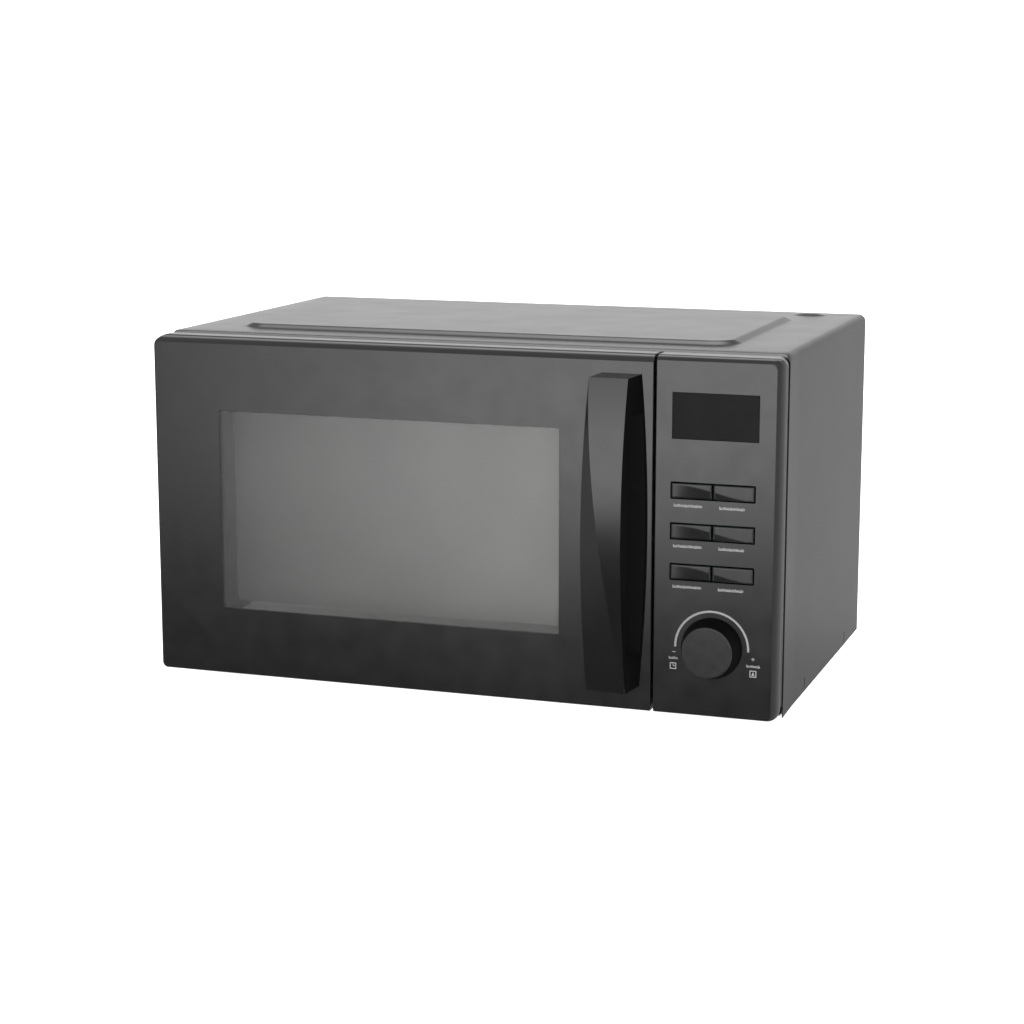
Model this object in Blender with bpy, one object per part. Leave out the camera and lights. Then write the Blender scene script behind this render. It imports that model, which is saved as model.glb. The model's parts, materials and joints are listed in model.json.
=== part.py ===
"""A countertop microwave oven, built as separate pieces in metres: +Z up, the door faces -Y."""

import math

import bmesh
import bpy
from mathutils import Matrix, Vector

MM = 0.001

# Whole oven
HALF_WIDTH = 226.0
DOOR_LEFT = -226.8
FRONT_Y = -131.0
TOP_Z = 252.66
SKIN = 1.2
GAP = 0.3

# Door and control panel
DOOR_BOTTOM = 12.0
DOOR_RIGHT = 137.5
PANEL_LEFT = 139.5
FRONT_WALL = 2.5
TOP_EDGE = 3.4
DOOR_EDGE = 5.0
SIDE_EDGE = 5.6
EDGE_LEAN = math.radians(20.0)
SIDE_LEAN = math.radians(8.5)
CORNER = 0.8
WINDOW = (-177.0, 73.0, 59.5, 201.0)
HINGE = (-220.2, -118.3)
HINGE_LEVELS = (19.0, 245.0)
HINGE_ARM = 2.0
CLAW_X = (119.0, 125.0)
HOOK_LEVELS = (76.0, 194.0)
SCREW_LEVELS = (42.0, 228.0)

# Controls
DISPLAY = (150.4, 208.8, 197.9, 228.8)
BUTTON_SPAN = (149.8, 207.2)
BUTTON_SPLIT = 178.2
BUTTON_ROWS = (109.2, 136.5, 163.75)
BUTTON_HEIGHT = 11.7
KNOB = (179.3, 59.0)
KNOB_FACE_R = 17.1
KNOB_BASE_R = 20.6
KNOB_STANDS = 14.0

# Handle
HANDLE_Z = (28.9, 239.6)
HANDLE_STANDS = 30.0
HANDLE_SCREW_X = 112.0

# Outer case
CASE_HALF = 222.93
CASE_FRONT_Y = -109.9
CASE_REAR_Y = 156.75
CASE_BOTTOM = 9.83
CASE_ROUND = 5.5
CROWN = (-189.0, 179.0, -81.0, 116.0)
CROWN_RISE = 3.5
CROWN_SLOPE = 6.0

# Frame, cavity and turntable
FRAME_Y = (-109.6, -108.4)
CAVITY = (-204.0, 102.0, -108.1, 150.0, 30.0, 232.0)
CAVITY_SKIN = 1.0
TABLE = (-51.0, 21.0)
TABLE_R = 122.5
TABLE_Z = 43.6
ROLLER_R = 6.5
FEET = ((-180.0, -78.0), (180.0, -78.0), (-180.0, 128.0), (180.0, 128.0))
CASE_SCREWS = ((-216.5, 60.0), (216.5, 60.0), (-216.5, 215.0), (216.5, 215.0))
GLAND = (190.0, 40.0)
FAN = (166.0, 180.0)
ANTENNA = (40.0, 188.0)

PALETTE = {
    "gloss_black": ((0.022, 0.022, 0.024), 0.28, 0.0),
    "case_paint": ((0.105, 0.105, 0.108), 0.42, 0.25),
    "smoked_window": ((0.16, 0.16, 0.155), 0.10, 0.0),
    "display_black": ((0.008, 0.008, 0.010), 0.12, 0.0),
    "mesh_paint": ((0.42, 0.42, 0.40), 0.45, 0.2),
    "galvanised": ((0.52, 0.53, 0.54), 0.38, 0.9),
    "cavity_enamel": ((0.70, 0.70, 0.68), 0.40, 0.1),
    "dark_plastic": ((0.035, 0.035, 0.037), 0.50, 0.0),
    "white_plastic": ((0.78, 0.77, 0.74), 0.45, 0.0),
    "rubber": ((0.020, 0.020, 0.020), 0.80, 0.0),
    "screw_steel": ((0.45, 0.45, 0.46), 0.30, 1.0),
    "circuit_board": ((0.05, 0.18, 0.09), 0.50, 0.0),
    "mica": ((0.55, 0.50, 0.42), 0.60, 0.0),
    "glass": ((0.85, 0.90, 0.89), 0.05, 0.0),
    "iron_core": ((0.16, 0.16, 0.17), 0.50, 0.7),
    "copper": ((0.62, 0.27, 0.12), 0.35, 0.9),
    "aluminium": ((0.70, 0.71, 0.72), 0.30, 0.9),
}

TURN = {
    "X": Matrix.Rotation(math.pi / 2, 4, "Y"),
    "Y": Matrix.Rotation(-math.pi / 2, 4, "X"),
    "Z": Matrix.Identity(4),
}


def clear_scene():
    for obj in list(bpy.data.objects):
        bpy.data.objects.remove(obj, do_unlink=True)


def make_collection(name):
    collection = bpy.data.collections.new(name)
    bpy.context.scene.collection.children.link(collection)
    return collection


def make_material(name):
    colour, roughness, metallic = PALETTE[name]
    material = bpy.data.materials.new(name)
    material.use_nodes = True
    shader = material.node_tree.nodes["Principled BSDF"]
    shader.inputs["Base Color"].default_value = (*colour, 1.0)
    shader.inputs["Roughness"].default_value = roughness
    shader.inputs["Metallic"].default_value = metallic
    material.diffuse_color = (*colour, 1.0)
    return material


def put_box(bm, x, y, z):
    """Adds a box between the two values given for each axis, in millimetres."""
    low = Vector((x[0], y[0], z[0])) * MM
    high = Vector((x[1], y[1], z[1])) * MM
    size = high - low
    place = Matrix.Translation((low + high) / 2) @ Matrix.Diagonal((*size, 1.0))
    return bmesh.ops.create_cube(bm, size=1.0, matrix=place)["verts"]


def put_rod(bm, axis, start, length, radius, end_radius=None, segments=24):
    """Adds a cylinder or a cone that runs from start along +axis."""
    middle = Vector(start) * MM + TURN[axis].to_3x3() @ Vector((0, 0, length * MM / 2))
    return bmesh.ops.create_cone(
        bm,
        cap_ends=True,
        segments=segments,
        radius1=radius * MM,
        radius2=(radius if end_radius is None else end_radius) * MM,
        depth=length * MM,
        matrix=Matrix.Translation(middle) @ TURN[axis],
    )["verts"]


def round_edges(bm, radius, wanted, segments=3):
    """Rounds each edge whose middle (mm) and direction pass the test."""
    chosen = []
    for edge in bm.edges:
        ends = [vert.co for vert in edge.verts]
        if wanted((ends[0] + ends[1]) / 2 / MM, (ends[1] - ends[0]).normalized()):
            chosen.append(edge)
    bmesh.ops.bevel(
        bm, geom=chosen, offset=radius * MM, segments=segments, profile=0.5, affect="EDGES"
    )


def put_loft(bm, rings):
    """Skins closed rings of equal length and caps both ends."""
    rows = [[bm.verts.new(Vector(point) * MM) for point in ring] for ring in rings]
    count = len(rows[0])
    for near, far in zip(rows, rows[1:]):
        for i in range(count):
            j = (i + 1) % count
            bm.faces.new((near[i], near[j], far[j], far[i]))
    bm.faces.new(rows[0])
    bm.faces.new(rows[-1])
    bmesh.ops.recalc_face_normals(bm, faces=bm.faces)


def finish_mesh(name, bm, collection):
    bmesh.ops.recalc_face_normals(bm, faces=bm.faces)
    mesh = bpy.data.meshes.new(name)
    bm.to_mesh(mesh)
    bm.free()
    obj = bpy.data.objects.new(name, mesh)
    collection.objects.link(obj)
    return obj


def node(name, bm, material, smooth=False):
    obj = finish_mesh(name, bm, OVEN)
    obj.data.materials.append(MATERIALS[material])
    if smooth:
        obj.data.shade_smooth()
    return obj


def combine(obj, bm, operation):
    """Cuts or joins a helper shape, which stays out of the render."""
    helper = finish_mesh(f"{obj.name}_{operation.lower()}_{len(obj.modifiers)}", bm, HELPERS)
    helper.hide_render = True
    helper.display_type = "WIRE"
    modifier = obj.modifiers.new(helper.name, "BOOLEAN")
    modifier.operation = operation
    modifier.solver = "EXACT"
    modifier.object = helper


def boxes(*spans):
    bm = bmesh.new()
    for span in spans:
        put_box(bm, *span)
    return bm


def rods(*rows, segments=24):
    bm = bmesh.new()
    for row in rows:
        put_rod(bm, *row, segments=segments)
    return bm


def edge_inset(inset, y, lean=0.0):
    """How far a round edge stands in from the outline, y behind the front.

    The round is an arc that starts with its surface already leaning back by the given angle.
    """
    radius = inset / (1 - math.sin(lean))
    rise = math.cos(lean) - y / radius
    if rise <= 0:
        return 0.0
    return radius * (1 - math.sqrt(1 - rise**2))


def rounded_outline(left, right, bottom, top, radii, y, steps=4):
    """A rectangle across Y; its corner radii run from the upper right one, anticlockwise."""
    corners = (
        (right, top, -1, -1),
        (left, top, 1, -1),
        (left, bottom, 1, 1),
        (right, bottom, -1, 1),
    )
    ring = []
    for quarter, ((x, z, to_x, to_z), radius) in enumerate(zip(corners, radii)):
        for step in range(steps + 1):
            angle = math.radians(90 * (quarter + step / steps))
            out_x, out_z = to_x + math.cos(angle), to_z + math.sin(angle)
            ring.append((x + radius * out_x, y, z + radius * out_z))
    return ring


# ---- outer case, base and rear ----


def crown_shape(inset, low, rise):
    left, right, front, rear = CROWN
    bm = bmesh.new()
    high = TOP_Z + rise
    put_box(bm, (left + inset, right - inset), (front + inset, rear - inset), (low, high))
    round_edges(bm, 14.0, lambda mid, way: abs(way.z) > 0.9)
    share = Vector(((left + right) / 2, (front + rear) / 2, 0)) * MM
    half = Vector(((right - left) / 2, (rear - front) / 2, 0))
    for vert in bm.verts:
        if vert.co.z > (high - 0.1) * MM:
            vert.co.x = share.x + (vert.co.x - share.x) * (1 - CROWN_SLOPE / half.x)
            vert.co.y = share.y + (vert.co.y - share.y) * (1 - CROWN_SLOPE / half.y)
    return bm


def is_top_corner(mid, way):
    return abs(way.y) > 0.9 and mid.z > 200


def make_outer_case():
    bm = boxes(((-CASE_HALF, CASE_HALF), (CASE_FRONT_Y, CASE_REAR_Y), (CASE_BOTTOM, TOP_Z)))
    round_edges(bm, CASE_ROUND, is_top_corner, 4)
    case = node("outer_case", bm, "case_paint")
    combine(case, crown_shape(0.0, TOP_Z - 0.6, CROWN_RISE), "UNION")
    boss = rods(("Z", (0, 0, TOP_Z - 0.6), 2.4, 14.0, 11.0))
    bmesh.ops.scale(boss, verts=boss.verts, vec=(1.0, 0.72, 1.0))
    bmesh.ops.translate(boss, verts=boss.verts, vec=Vector((185, 139, 0)) * MM)
    combine(case, boss, "UNION")
    inner = CASE_HALF - SKIN
    hollow = boxes(((-inner, inner), (-120, CASE_REAR_Y - SKIN), (0, TOP_Z - SKIN)))
    round_edges(hollow, CASE_ROUND - SKIN, is_top_corner, 4)
    combine(case, hollow, "DIFFERENCE")
    combine(case, crown_shape(2.0, TOP_Z - SKIN - 2, CROWN_RISE - SKIN), "DIFFERENCE")
    combine(case, boxes(((-211, 211), (150, 160), (0, 241))), "DIFFERENCE")
    slots = [((-230, 230), (y - 0.8, y + 0.8), (11.6, 19.6)) for y in (-38.0, 104.0)]
    louvres = [((-230, -215), (40 + 9 * i, 43 + 9 * i), (190, 222)) for i in range(9)]
    combine(case, boxes(*slots, *louvres), "DIFFERENCE")
    combine(case, rods(*[("Y", (x, 150, z), 12, 2.0) for x, z in CASE_SCREWS]), "DIFFERENCE")


def make_rear_panel():
    bm = boxes(((-221.1, 221.1), (154.05, 155.25), (13, 250.8)))
    round_edges(bm, CASE_ROUND, is_top_corner)
    panel = node("rear_panel", bm, "galvanised")
    vents = []
    for i in range(9):
        z = FAN[1] - 32 + 8 * i
        reach = math.sqrt(40**2 - (z - FAN[1]) ** 2)
        vents.append(((FAN[0] - reach, FAN[0] + reach), (150, 160), (z - 1.8, z + 1.8)))
    outlets = [((-190 + 12 * i, -186 + 12 * i), (150, 160), (185, 225)) for i in range(10)]
    combine(panel, boxes(*vents, *outlets), "DIFFERENCE")
    holes = [("Y", (x, 150, z), 12, 2.0) for x, z in CASE_SCREWS]
    holes.append(("Y", (GLAND[0], 150, GLAND[1]), 12, 8.4))
    combine(panel, rods(*holes), "DIFFERENCE")


def make_case_screws():
    for i, (x, z) in enumerate(CASE_SCREWS, 1):
        screw = node(f"case_screw_{i}", rods(("Y", (x, 157.05, z), 2.4, 4.0, 2.8)), "screw_steel", True)
        combine(screw, rods(("Y", (x, 146.0, z), 11.5, 1.7)), "UNION")


def make_cord_gland():
    x, z = GLAND
    gland = node("cord_gland", rods(("Y", (x, 155.55, z), 5.45, 12.0, 10.0)), "dark_plastic", True)
    combine(gland, rods(("Y", (x, 146.0, z), 10.0, 8.0)), "UNION")
    combine(gland, rods(("Y", (x, 140.0, z), 30.0, 4.0)), "DIFFERENCE")


def make_base_plate():
    plate = node("base_plate", boxes(((-221.1, 221.1), (-108.1, 153.7), (10.3, 11.5))), "galvanised")
    combine(plate, rods(*[("Z", (x, y, 5), 12, 3.8) for x, y in FEET]), "DIFFERENCE")
    vents = [((125, 195), (-20 + 9 * i, -16 + 9 * i), (5, 15)) for i in range(7)]
    combine(plate, boxes(*vents), "DIFFERENCE")


def make_feet():
    for i, (x, y) in enumerate(FEET, 1):
        foot = node(f"foot_{i}", rods(("Z", (x, y, 0), 10.0, 11.0, 13.0)), "rubber", True)
        combine(foot, rods(("Z", (x, y, 9.0), 5.0, 3.5)), "UNION")


# ---- frame, cavity and waveguide ----


def make_front_frame():
    bm = boxes(((-221.1, 221.1), FRAME_Y, (12.2, 250.8)))
    round_edges(bm, CASE_ROUND, is_top_corner)
    frame = node("front_frame", bm, "cavity_enamel")
    left, right, _, _, floor, roof = CAVITY
    deep = (-115, -100)
    opening = ((left + 1, right - 1), deep, (floor + 1, roof - 1))
    bay = ((143, 219), deep, (30, 245))
    hooks = [((117.5, 126.5), deep, (z - 12, z + 10)) for z in HOOK_LEVELS]
    arms = [((-221.5, -209.5), deep, (z - 1.6, z + 1.6)) for z in HINGE_LEVELS]
    combine(frame, boxes(opening, bay, *hooks, *arms), "DIFFERENCE")


def make_cavity():
    left, right, front, rear, floor, roof = CAVITY
    skin = CAVITY_SKIN
    shell = boxes(((left - skin, right + skin), (front, rear + skin), (floor - skin, roof + skin)))
    box = node("cavity_box", shell, "cavity_enamel")
    hollow = boxes(((left, right), (front - 10, rear), (floor, roof)))
    round_edges(hollow, 8.0, lambda mid, way: abs(way.y) > 0.9 or mid.y > rear - 1)
    combine(box, hollow, "DIFFERENCE")
    combine(box, rods(("Z", (*TABLE, floor - 5), 10, 5.0)), "DIFFERENCE")
    port = ((right - 5, right + 5), (-52, -12), (170, 204))
    lamp = [((right - 5, right + 5), (90 + 4 * i, 92 + 4 * i), (198, 212)) for i in range(4)]
    outlets = [((left - 5, left + 5), (60 + 8 * i, 63 + 8 * i), (195, 218)) for i in range(6)]
    combine(box, boxes(port, *lamp, *outlets), "DIFFERENCE")


def make_waveguide():
    start = CAVITY[1] + CAVITY_SKIN + GAP
    guide = node("waveguide", boxes(((start, 133), (-72, 78), (163, 212))), "galvanised")
    combine(guide, boxes(((95, 131.8), (-70.8, 76.8), (164.2, 210.8))), "DIFFERENCE")
    combine(guide, rods(("X", (125, *ANTENNA), 15, 13.0)), "DIFFERENCE")


def make_waveguide_cover():
    cover = boxes(((100.7, 101.7), (-58, -6), (165, 209)))
    round_edges(cover, 4.0, lambda mid, way: abs(way.x) > 0.9, 2)
    node("waveguide_cover", cover, "mica")


# ---- door ----


def door_outline(y):
    """The door's outline at y behind its face: a wide round on top, a tight one elsewhere."""
    tight = edge_inset(1.6, y)
    hinge_side = max(0.0, y - 14.7)
    left = 6.0 - math.sqrt(max(0.0, 36.0 - hinge_side**2))
    outer = 3.2 + min(4.9, y)
    return rounded_outline(
        DOOR_LEFT + max(tight, left),
        DOOR_RIGHT - edge_inset(0.5, y),
        DOOR_BOTTOM + tight,
        TOP_Z - edge_inset(DOOR_EDGE, y, EDGE_LEAN),
        (CORNER, outer, outer, CORNER),
        FRONT_Y + y,
    )


def make_door_frame():
    bm = bmesh.new()
    put_loft(bm, [door_outline(y) for y in (0.0, 0.6, 1.6, 3.2, 4.9, 7.1, 14.7, 17.7, 19.7, 20.7)])
    frame = node("door_frame", bm, "gloss_black")
    hollow = boxes(((-214.5, 135.0), (FRONT_Y + FRONT_WALL, -105), (14.5, 250.16)))
    round_edges(hollow, 3.0, lambda mid, way: abs(way.y) > 0.9, 2)
    combine(frame, hollow, "DIFFERENCE")
    window = (WINDOW[:2], (-140, -120), WINDOW[2:])
    pockets = [((-230, -209.5), (-123.5, -105), (z - 1.6, z + 1.6)) for z in HINGE_LEVELS]
    combine(frame, boxes(window, *pockets), "DIFFERENCE")
    low, high = HINGE_LEVELS
    pins = [("Z", (*HINGE, low + 0.5), 10.5, 2.1), ("Z", (*HINGE, high - 11.0), 10.5, 2.1)]
    combine(frame, rods(*pins), "DIFFERENCE")
    screws = [("Y", (HANDLE_SCREW_X, -140, z), 20, 2.0) for z in SCREW_LEVELS]
    combine(frame, rods(*screws, segments=16), "DIFFERENCE")


def make_flush_pane(name, opening, material, lip):
    """A pane flush with the front, held by a wider flange behind the wall."""
    left, right, low, high = opening
    gap = GAP
    face = ((left + gap, right - gap), (FRONT_Y, -128.0), (low + gap, high - gap))
    pane = node(name, boxes(face), material)
    flange = ((left - lip, right + lip), (-128.2, -126.8), (low - lip, high + lip))
    combine(pane, boxes(flange), "UNION")


def make_door_mesh_panel():
    bm = boxes(((-208, 108), (-126.4, -112.4), (26, 238)))
    round_edges(bm, 4.0, lambda mid, way: abs(way.y) > 0.9, 2)
    panel = node("door_mesh_panel", bm, "mesh_paint")
    recess = boxes(((-176, 72.5), (-140, -113.4), (60, 200.5)))
    round_edges(recess, 5.0, lambda mid, way: abs(way.y) > 0.9)
    combine(panel, recess, "DIFFERENCE")
    channel = (
        ((-207, -177), (-125.4, -105), (27, 237)),
        ((73.5, 107), (-125.4, -105), (27, 237)),
    )
    combine(panel, boxes(*channel), "DIFFERENCE")
    rails = (
        ((-178, 74.5), (-125.4, -105), (27, 59)),
        ((-178, 74.5), (-125.4, -105), (201.5, 237)),
    )
    combine(panel, boxes(*rails), "DIFFERENCE")


def make_door_inner_cover():
    bm = boxes(((-214.1, 134.6), (-112.0, -110.5), (15, 249.6)))
    round_edges(bm, 3.0, lambda mid, way: abs(way.y) > 0.9, 2)
    cover = node("door_inner_cover", bm, "dark_plastic")
    window = ((-170, 67), (-120, -105), (66, 195))
    hooks = [((117.5, 126.5), (-120, -105), (z - 12, z + 10)) for z in HOOK_LEVELS]
    arms = [((-220, -209.0), (-120, -105), (z - 4, z + 4)) for z in HINGE_LEVELS]
    combine(cover, boxes(window, *hooks, *arms), "DIFFERENCE")


def handle_section(z):
    """One level of the handle: its sides bow, and a crease crosses its front from top to bottom."""
    low, high = HANDLE_Z
    share = (z - low) / (high - low)
    bow = 1 - (2 * share - 1) ** 2
    front = FRONT_Y - HANDLE_STANDS
    left = 100.6 - 4.0 * bow
    right = 129.0 - 3.3 * bow
    crease = left + (right - left) * (1 - share) ** 1.25
    return [
        (left + 0.8, FRONT_Y - GAP, z),
        (left, front + 7.0 * (1 - share) + 1.2, z),
        (crease, front, z),
        (right, front + 0.4, z),
        (129.8 + 4.8 * bow, FRONT_Y - GAP, z),
    ]


def make_door_handle():
    low, high = HANDLE_Z
    bm = bmesh.new()
    levels = [low + (high - low) * i / 12 for i in range(13)]
    put_loft(bm, [handle_section(z) for z in levels])
    handle = node("door_handle", bm, "gloss_black")
    pocket = boxes(((110, 145), (-155, -134), (52, 214)))
    round_edges(pocket, 5.0, lambda mid, way: abs(way.x) < 0.1 and mid.x < 112, 2)
    combine(handle, pocket, "DIFFERENCE")
    holes = [("Y", (HANDLE_SCREW_X, -145, z), 20, 1.9) for z in SCREW_LEVELS]
    combine(handle, rods(*holes, segments=16), "DIFFERENCE")


def make_handle_screws():
    for i, z in enumerate(SCREW_LEVELS, 1):
        x = HANDLE_SCREW_X
        head = rods(("Y", (x, -128.2, z), 2.0, 3.2), segments=16)
        screw = node(f"handle_screw_{i}", head, "screw_steel", True)
        combine(screw, rods(("Y", (x, -143.0, z), 15.5, 1.6), segments=16), "UNION")


def make_latch():
    bar = boxes((CLAW_X, (-121.5, -117.5), (62, 212)))
    claw = node("latch_claw", bar, "white_plastic")
    hooks = [(CLAW_X, (-119, -94), (z - 4, z + 4)) for z in HOOK_LEVELS]
    combine(claw, boxes(*hooks), "UNION")
    barbs = [(CLAW_X, (-99, -93.5), (z - 8, z + 3.6)) for z in HOOK_LEVELS]
    combine(claw, boxes(*barbs), "UNION")


def make_latch_spring():
    curve = bpy.data.curves.new("latch_spring", "CURVE")
    curve.dimensions = "3D"
    curve.bevel_depth = 0.4 * MM
    curve.bevel_resolution = 1
    curve.use_fill_caps = True
    line = curve.splines.new("POLY")
    turns, per_turn, low, high = 5, 10, 213.0, 231.0
    count = turns * per_turn + 1
    line.points.add(count - 1)
    for i in range(count):
        angle = 2 * math.pi * i / per_turn
        rise = low + (high - low) * i / (count - 1)
        x = sum(CLAW_X) / 2 + 2.4 * math.cos(angle)
        y = -119.5 + 2.4 * math.sin(angle)
        line.points[i].co = (x * MM, y * MM, rise * MM, 1.0)
    guide = bpy.data.objects.new("latch_spring_guide", curve)
    mesh = bpy.data.meshes.new_from_object(guide)
    bpy.data.objects.remove(guide)
    bm = bmesh.new()
    bm.from_mesh(mesh)
    bmesh.ops.remove_doubles(bm, verts=bm.verts, dist=0.01 * MM)
    node("latch_spring", bm, "screw_steel", True)


def make_hinges():
    """Each bracket bolts behind the frame, and its arm carries the door's pivot pin."""
    low, high = HINGE_LEVELS
    x, y = HINGE
    for name, level, plate, pin in (
        ("hinge_bracket_top", high, (225, 249), (high - 9.0, 9.5)),
        ("hinge_bracket_bottom", low, (15, 38), (low - 0.5, 9.5)),
    ):
        arm = (level - HINGE_ARM / 2, level + HINGE_ARM / 2)
        bracket = node(name, boxes(((-220.8, -206.6), (-108.1, -106.6), plate)), "galvanised")
        combine(bracket, boxes(((-220.8, -211), (-119.0, -107.2), arm)), "UNION")
        combine(bracket, rods(("Z", (x, y, arm[0]), HINGE_ARM, 4.0)), "UNION")
        combine(bracket, rods(("Z", (x, y, pin[0]), pin[1], 2.0)), "UNION")


# ---- control panel ----


def panel_outline(y):
    """The panel's outline at y behind its face; its outer side draws in behind the round."""
    taper = 0.2 * max(0.0, y - 6.5) + 0.8 * min(1.0, max(0.0, y - 6.5) / 1.3)
    return rounded_outline(
        PANEL_LEFT + edge_inset(0.5, y),
        HALF_WIDTH - 1.0 - edge_inset(SIDE_EDGE, y, SIDE_LEAN) - taper,
        DOOR_BOTTOM + edge_inset(1.6, y),
        TOP_Z - edge_inset(TOP_EDGE, y, EDGE_LEAN),
        (4.5 + min(2.0, y / 4), CORNER, CORNER, 4.5 + min(3.5, y / 2)),
        FRONT_Y + y,
    )


def button_rows():
    return [(z - BUTTON_HEIGHT / 2, z + BUTTON_HEIGHT / 2) for z in BUTTON_ROWS]


def make_control_fascia():
    bm = bmesh.new()
    put_loft(bm, [panel_outline(y) for y in (0.0, 0.6, 1.6, 3.2, 4.9, 6.5, 7.8, 19.5)])
    fascia = node("control_fascia", bm, "gloss_black")
    hollow = boxes(((142.0, 219.0), (FRONT_Y + FRONT_WALL, -105), (14.5, 249.0)))
    combine(fascia, hollow, "DIFFERENCE")
    through = (-140, -120)
    display = (DISPLAY[:2], through, DISPLAY[2:])
    rows = [(BUTTON_SPAN, through, row) for row in button_rows()]
    combine(fascia, boxes(display, *rows), "DIFFERENCE")
    combine(fascia, rods(("Y", (KNOB[0], -140, KNOB[1]), 20, 4.9)), "DIFFERENCE")


def make_buttons():
    index = 0
    for low, high in reversed(button_rows()):
        for side, left, right in (
            ("left", BUTTON_SPAN[0] + GAP, BUTTON_SPLIT - GAP),
            ("right", BUTTON_SPLIT + GAP, BUTTON_SPAN[1] - GAP),
        ):
            index += 1
            cap = boxes(((left, right), (-130.5, -126.0), (low + GAP, high - GAP)))
            button = node(f"button_{index}", cap, "gloss_black")
            outer = (left - 1.5, right) if side == "left" else (left, right + 1.5)
            flange = (outer, (-128.0, -126.6), (low - 1.2, high + 1.2))
            combine(button, boxes(flange), "UNION")
            stem = ("Y", ((left + right) / 2, -127.0, (low + high) / 2), 6.6, 2.0)
            combine(button, rods(stem, segments=12), "UNION")


def make_knob():
    x, z = KNOB
    face = FRONT_Y - KNOB_STANDS
    base = FRONT_Y - 0.4
    bm = rods(("Y", (x, face, z), base - face, KNOB_FACE_R, KNOB_BASE_R), segments=48)
    round_edges(bm, 1.4, lambda mid, way: mid.y < face + 0.1, 2)
    knob = node("knob", bm, "gloss_black", True)
    combine(knob, rods(("Y", (x, -140.3, z), 15, 3.3)), "DIFFERENCE")
    shaft = rods(("Y", (x, -140.0, z), 20.0, 3.0))
    node("encoder_shaft", shaft, "aluminium", True)


def make_encoder():
    x, z = KNOB
    encoder = node("encoder", boxes(((x - 7, x + 7), (-125.5, -117.7), (z - 7, z + 7))), "galvanised")
    combine(encoder, rods(("Y", (x, -130.4, z), 6.0, 4.5)), "UNION")
    combine(encoder, rods(("Y", (x, -135, z), 16.0, 3.1)), "DIFFERENCE")


def make_control_board():
    board = node("control_board", boxes(((146, 217), (-117.3, -115.7), (36, 240))), "circuit_board")
    centres = [
        (sum(pair) / 2, z)
        for pair in ((BUTTON_SPAN[0], BUTTON_SPLIT), (BUTTON_SPLIT, BUTTON_SPAN[1]))
        for z in BUTTON_ROWS
    ]
    switches = [((x - 3, x + 3), (-119.0, -117.0), (z - 3, z + 3)) for x, z in centres]
    relays = (
        ((150, 180), (-116.0, -96), (196, 222)),
        ((186, 210), (-116.0, -100), (150, 166)),
        ((186, 210), (-116.0, -100), (120, 136)),
        ((152, 178), (-116.0, -104), (52, 62)),
    )
    combine(board, boxes(*switches, *relays), "UNION")


def make_display_module():
    block = boxes(((153, 206), (-126.3, -117.7), (200, 227)))
    node("display_module", block, "white_plastic")


# ---- latch receiver and switches ----


def make_latch_board():
    board = node("latch_board", boxes(((110, 137), (-108.1, -105.6), (50, 228))), "white_plastic")
    rib = ((128.6, 130.6), (-106.0, -84), (56, 222))
    rail = ((112, 114), (-106.0, -84), (56, 222))
    combine(board, boxes(rib, rail), "UNION")
    hooks = [((117.5, 126.5), (-115, -100), (z - 12, z + 10)) for z in HOOK_LEVELS]
    combine(board, boxes(*hooks), "DIFFERENCE")


def make_microswitches():
    for i, z in enumerate(HOOK_LEVELS, 1):
        body = boxes(((131, 137.5), (-105.2, -89), (z - 14, z + 14)))
        switch = node(f"microswitch_{i}", body, "dark_plastic")
        combine(switch, rods(("Y", (134.2, -89.5, z - 8), 2.2, 1.4), segments=12), "UNION")


# ---- machine bay ----


def make_magnetron():
    y, z = ANTENNA
    yoke = boxes(((134.5, 188), (y - 42, y + 42), (z - 48, z + 48)))
    magnetron = node("magnetron", yoke, "aluminium")
    slots = [((139, 183), (y - 50, y + 50), (z - 40 + 14 * i, z - 31 + 14 * i)) for i in range(6)]
    combine(magnetron, boxes(*slots), "DIFFERENCE")
    combine(magnetron, boxes(((187, 214), (y - 28, y + 28), (z - 32, z + 32))), "UNION")
    combine(magnetron, rods(("Z", (161, y, z - 44), 88, 17.0)), "UNION")
    combine(magnetron, rods(("X", (112, y, z), 24, 9.0)), "UNION")


def make_transformer():
    core = node("transformer_core", boxes(((122, 205), (50, 100), (11.8, 82))), "iron_core")
    windows = [((138, 189), (40, 110), span) for span in ((26, 38), (56, 68))]
    combine(core, boxes(*windows), "DIFFERENCE")
    for name, left, right, metal in (
        ("primary_winding", 138.4, 162.0, "copper"),
        ("secondary_winding", 162.6, 188.6, "copper"),
    ):
        bm = boxes(((left, right), (38, 112), (26.4, 67.6)))
        round_edges(bm, 9.0, lambda mid, way: abs(way.x) > 0.9, 3)
        winding = node(name, bm, metal)
        combine(winding, boxes(((130, 195), (49.6, 100.4), (37.6, 56.4))), "DIFFERENCE")


def make_capacitor():
    bm = boxes(((160, 212), (-60, -26), (11.8, 96)))
    round_edges(bm, 16.0, lambda mid, way: abs(way.z) > 0.9, 5)
    can = node("capacitor", bm, "aluminium")
    tabs = [((x, x + 6), (-44, -42), (95, 104)) for x in (172, 194)]
    combine(can, boxes(*tabs), "UNION")


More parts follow.
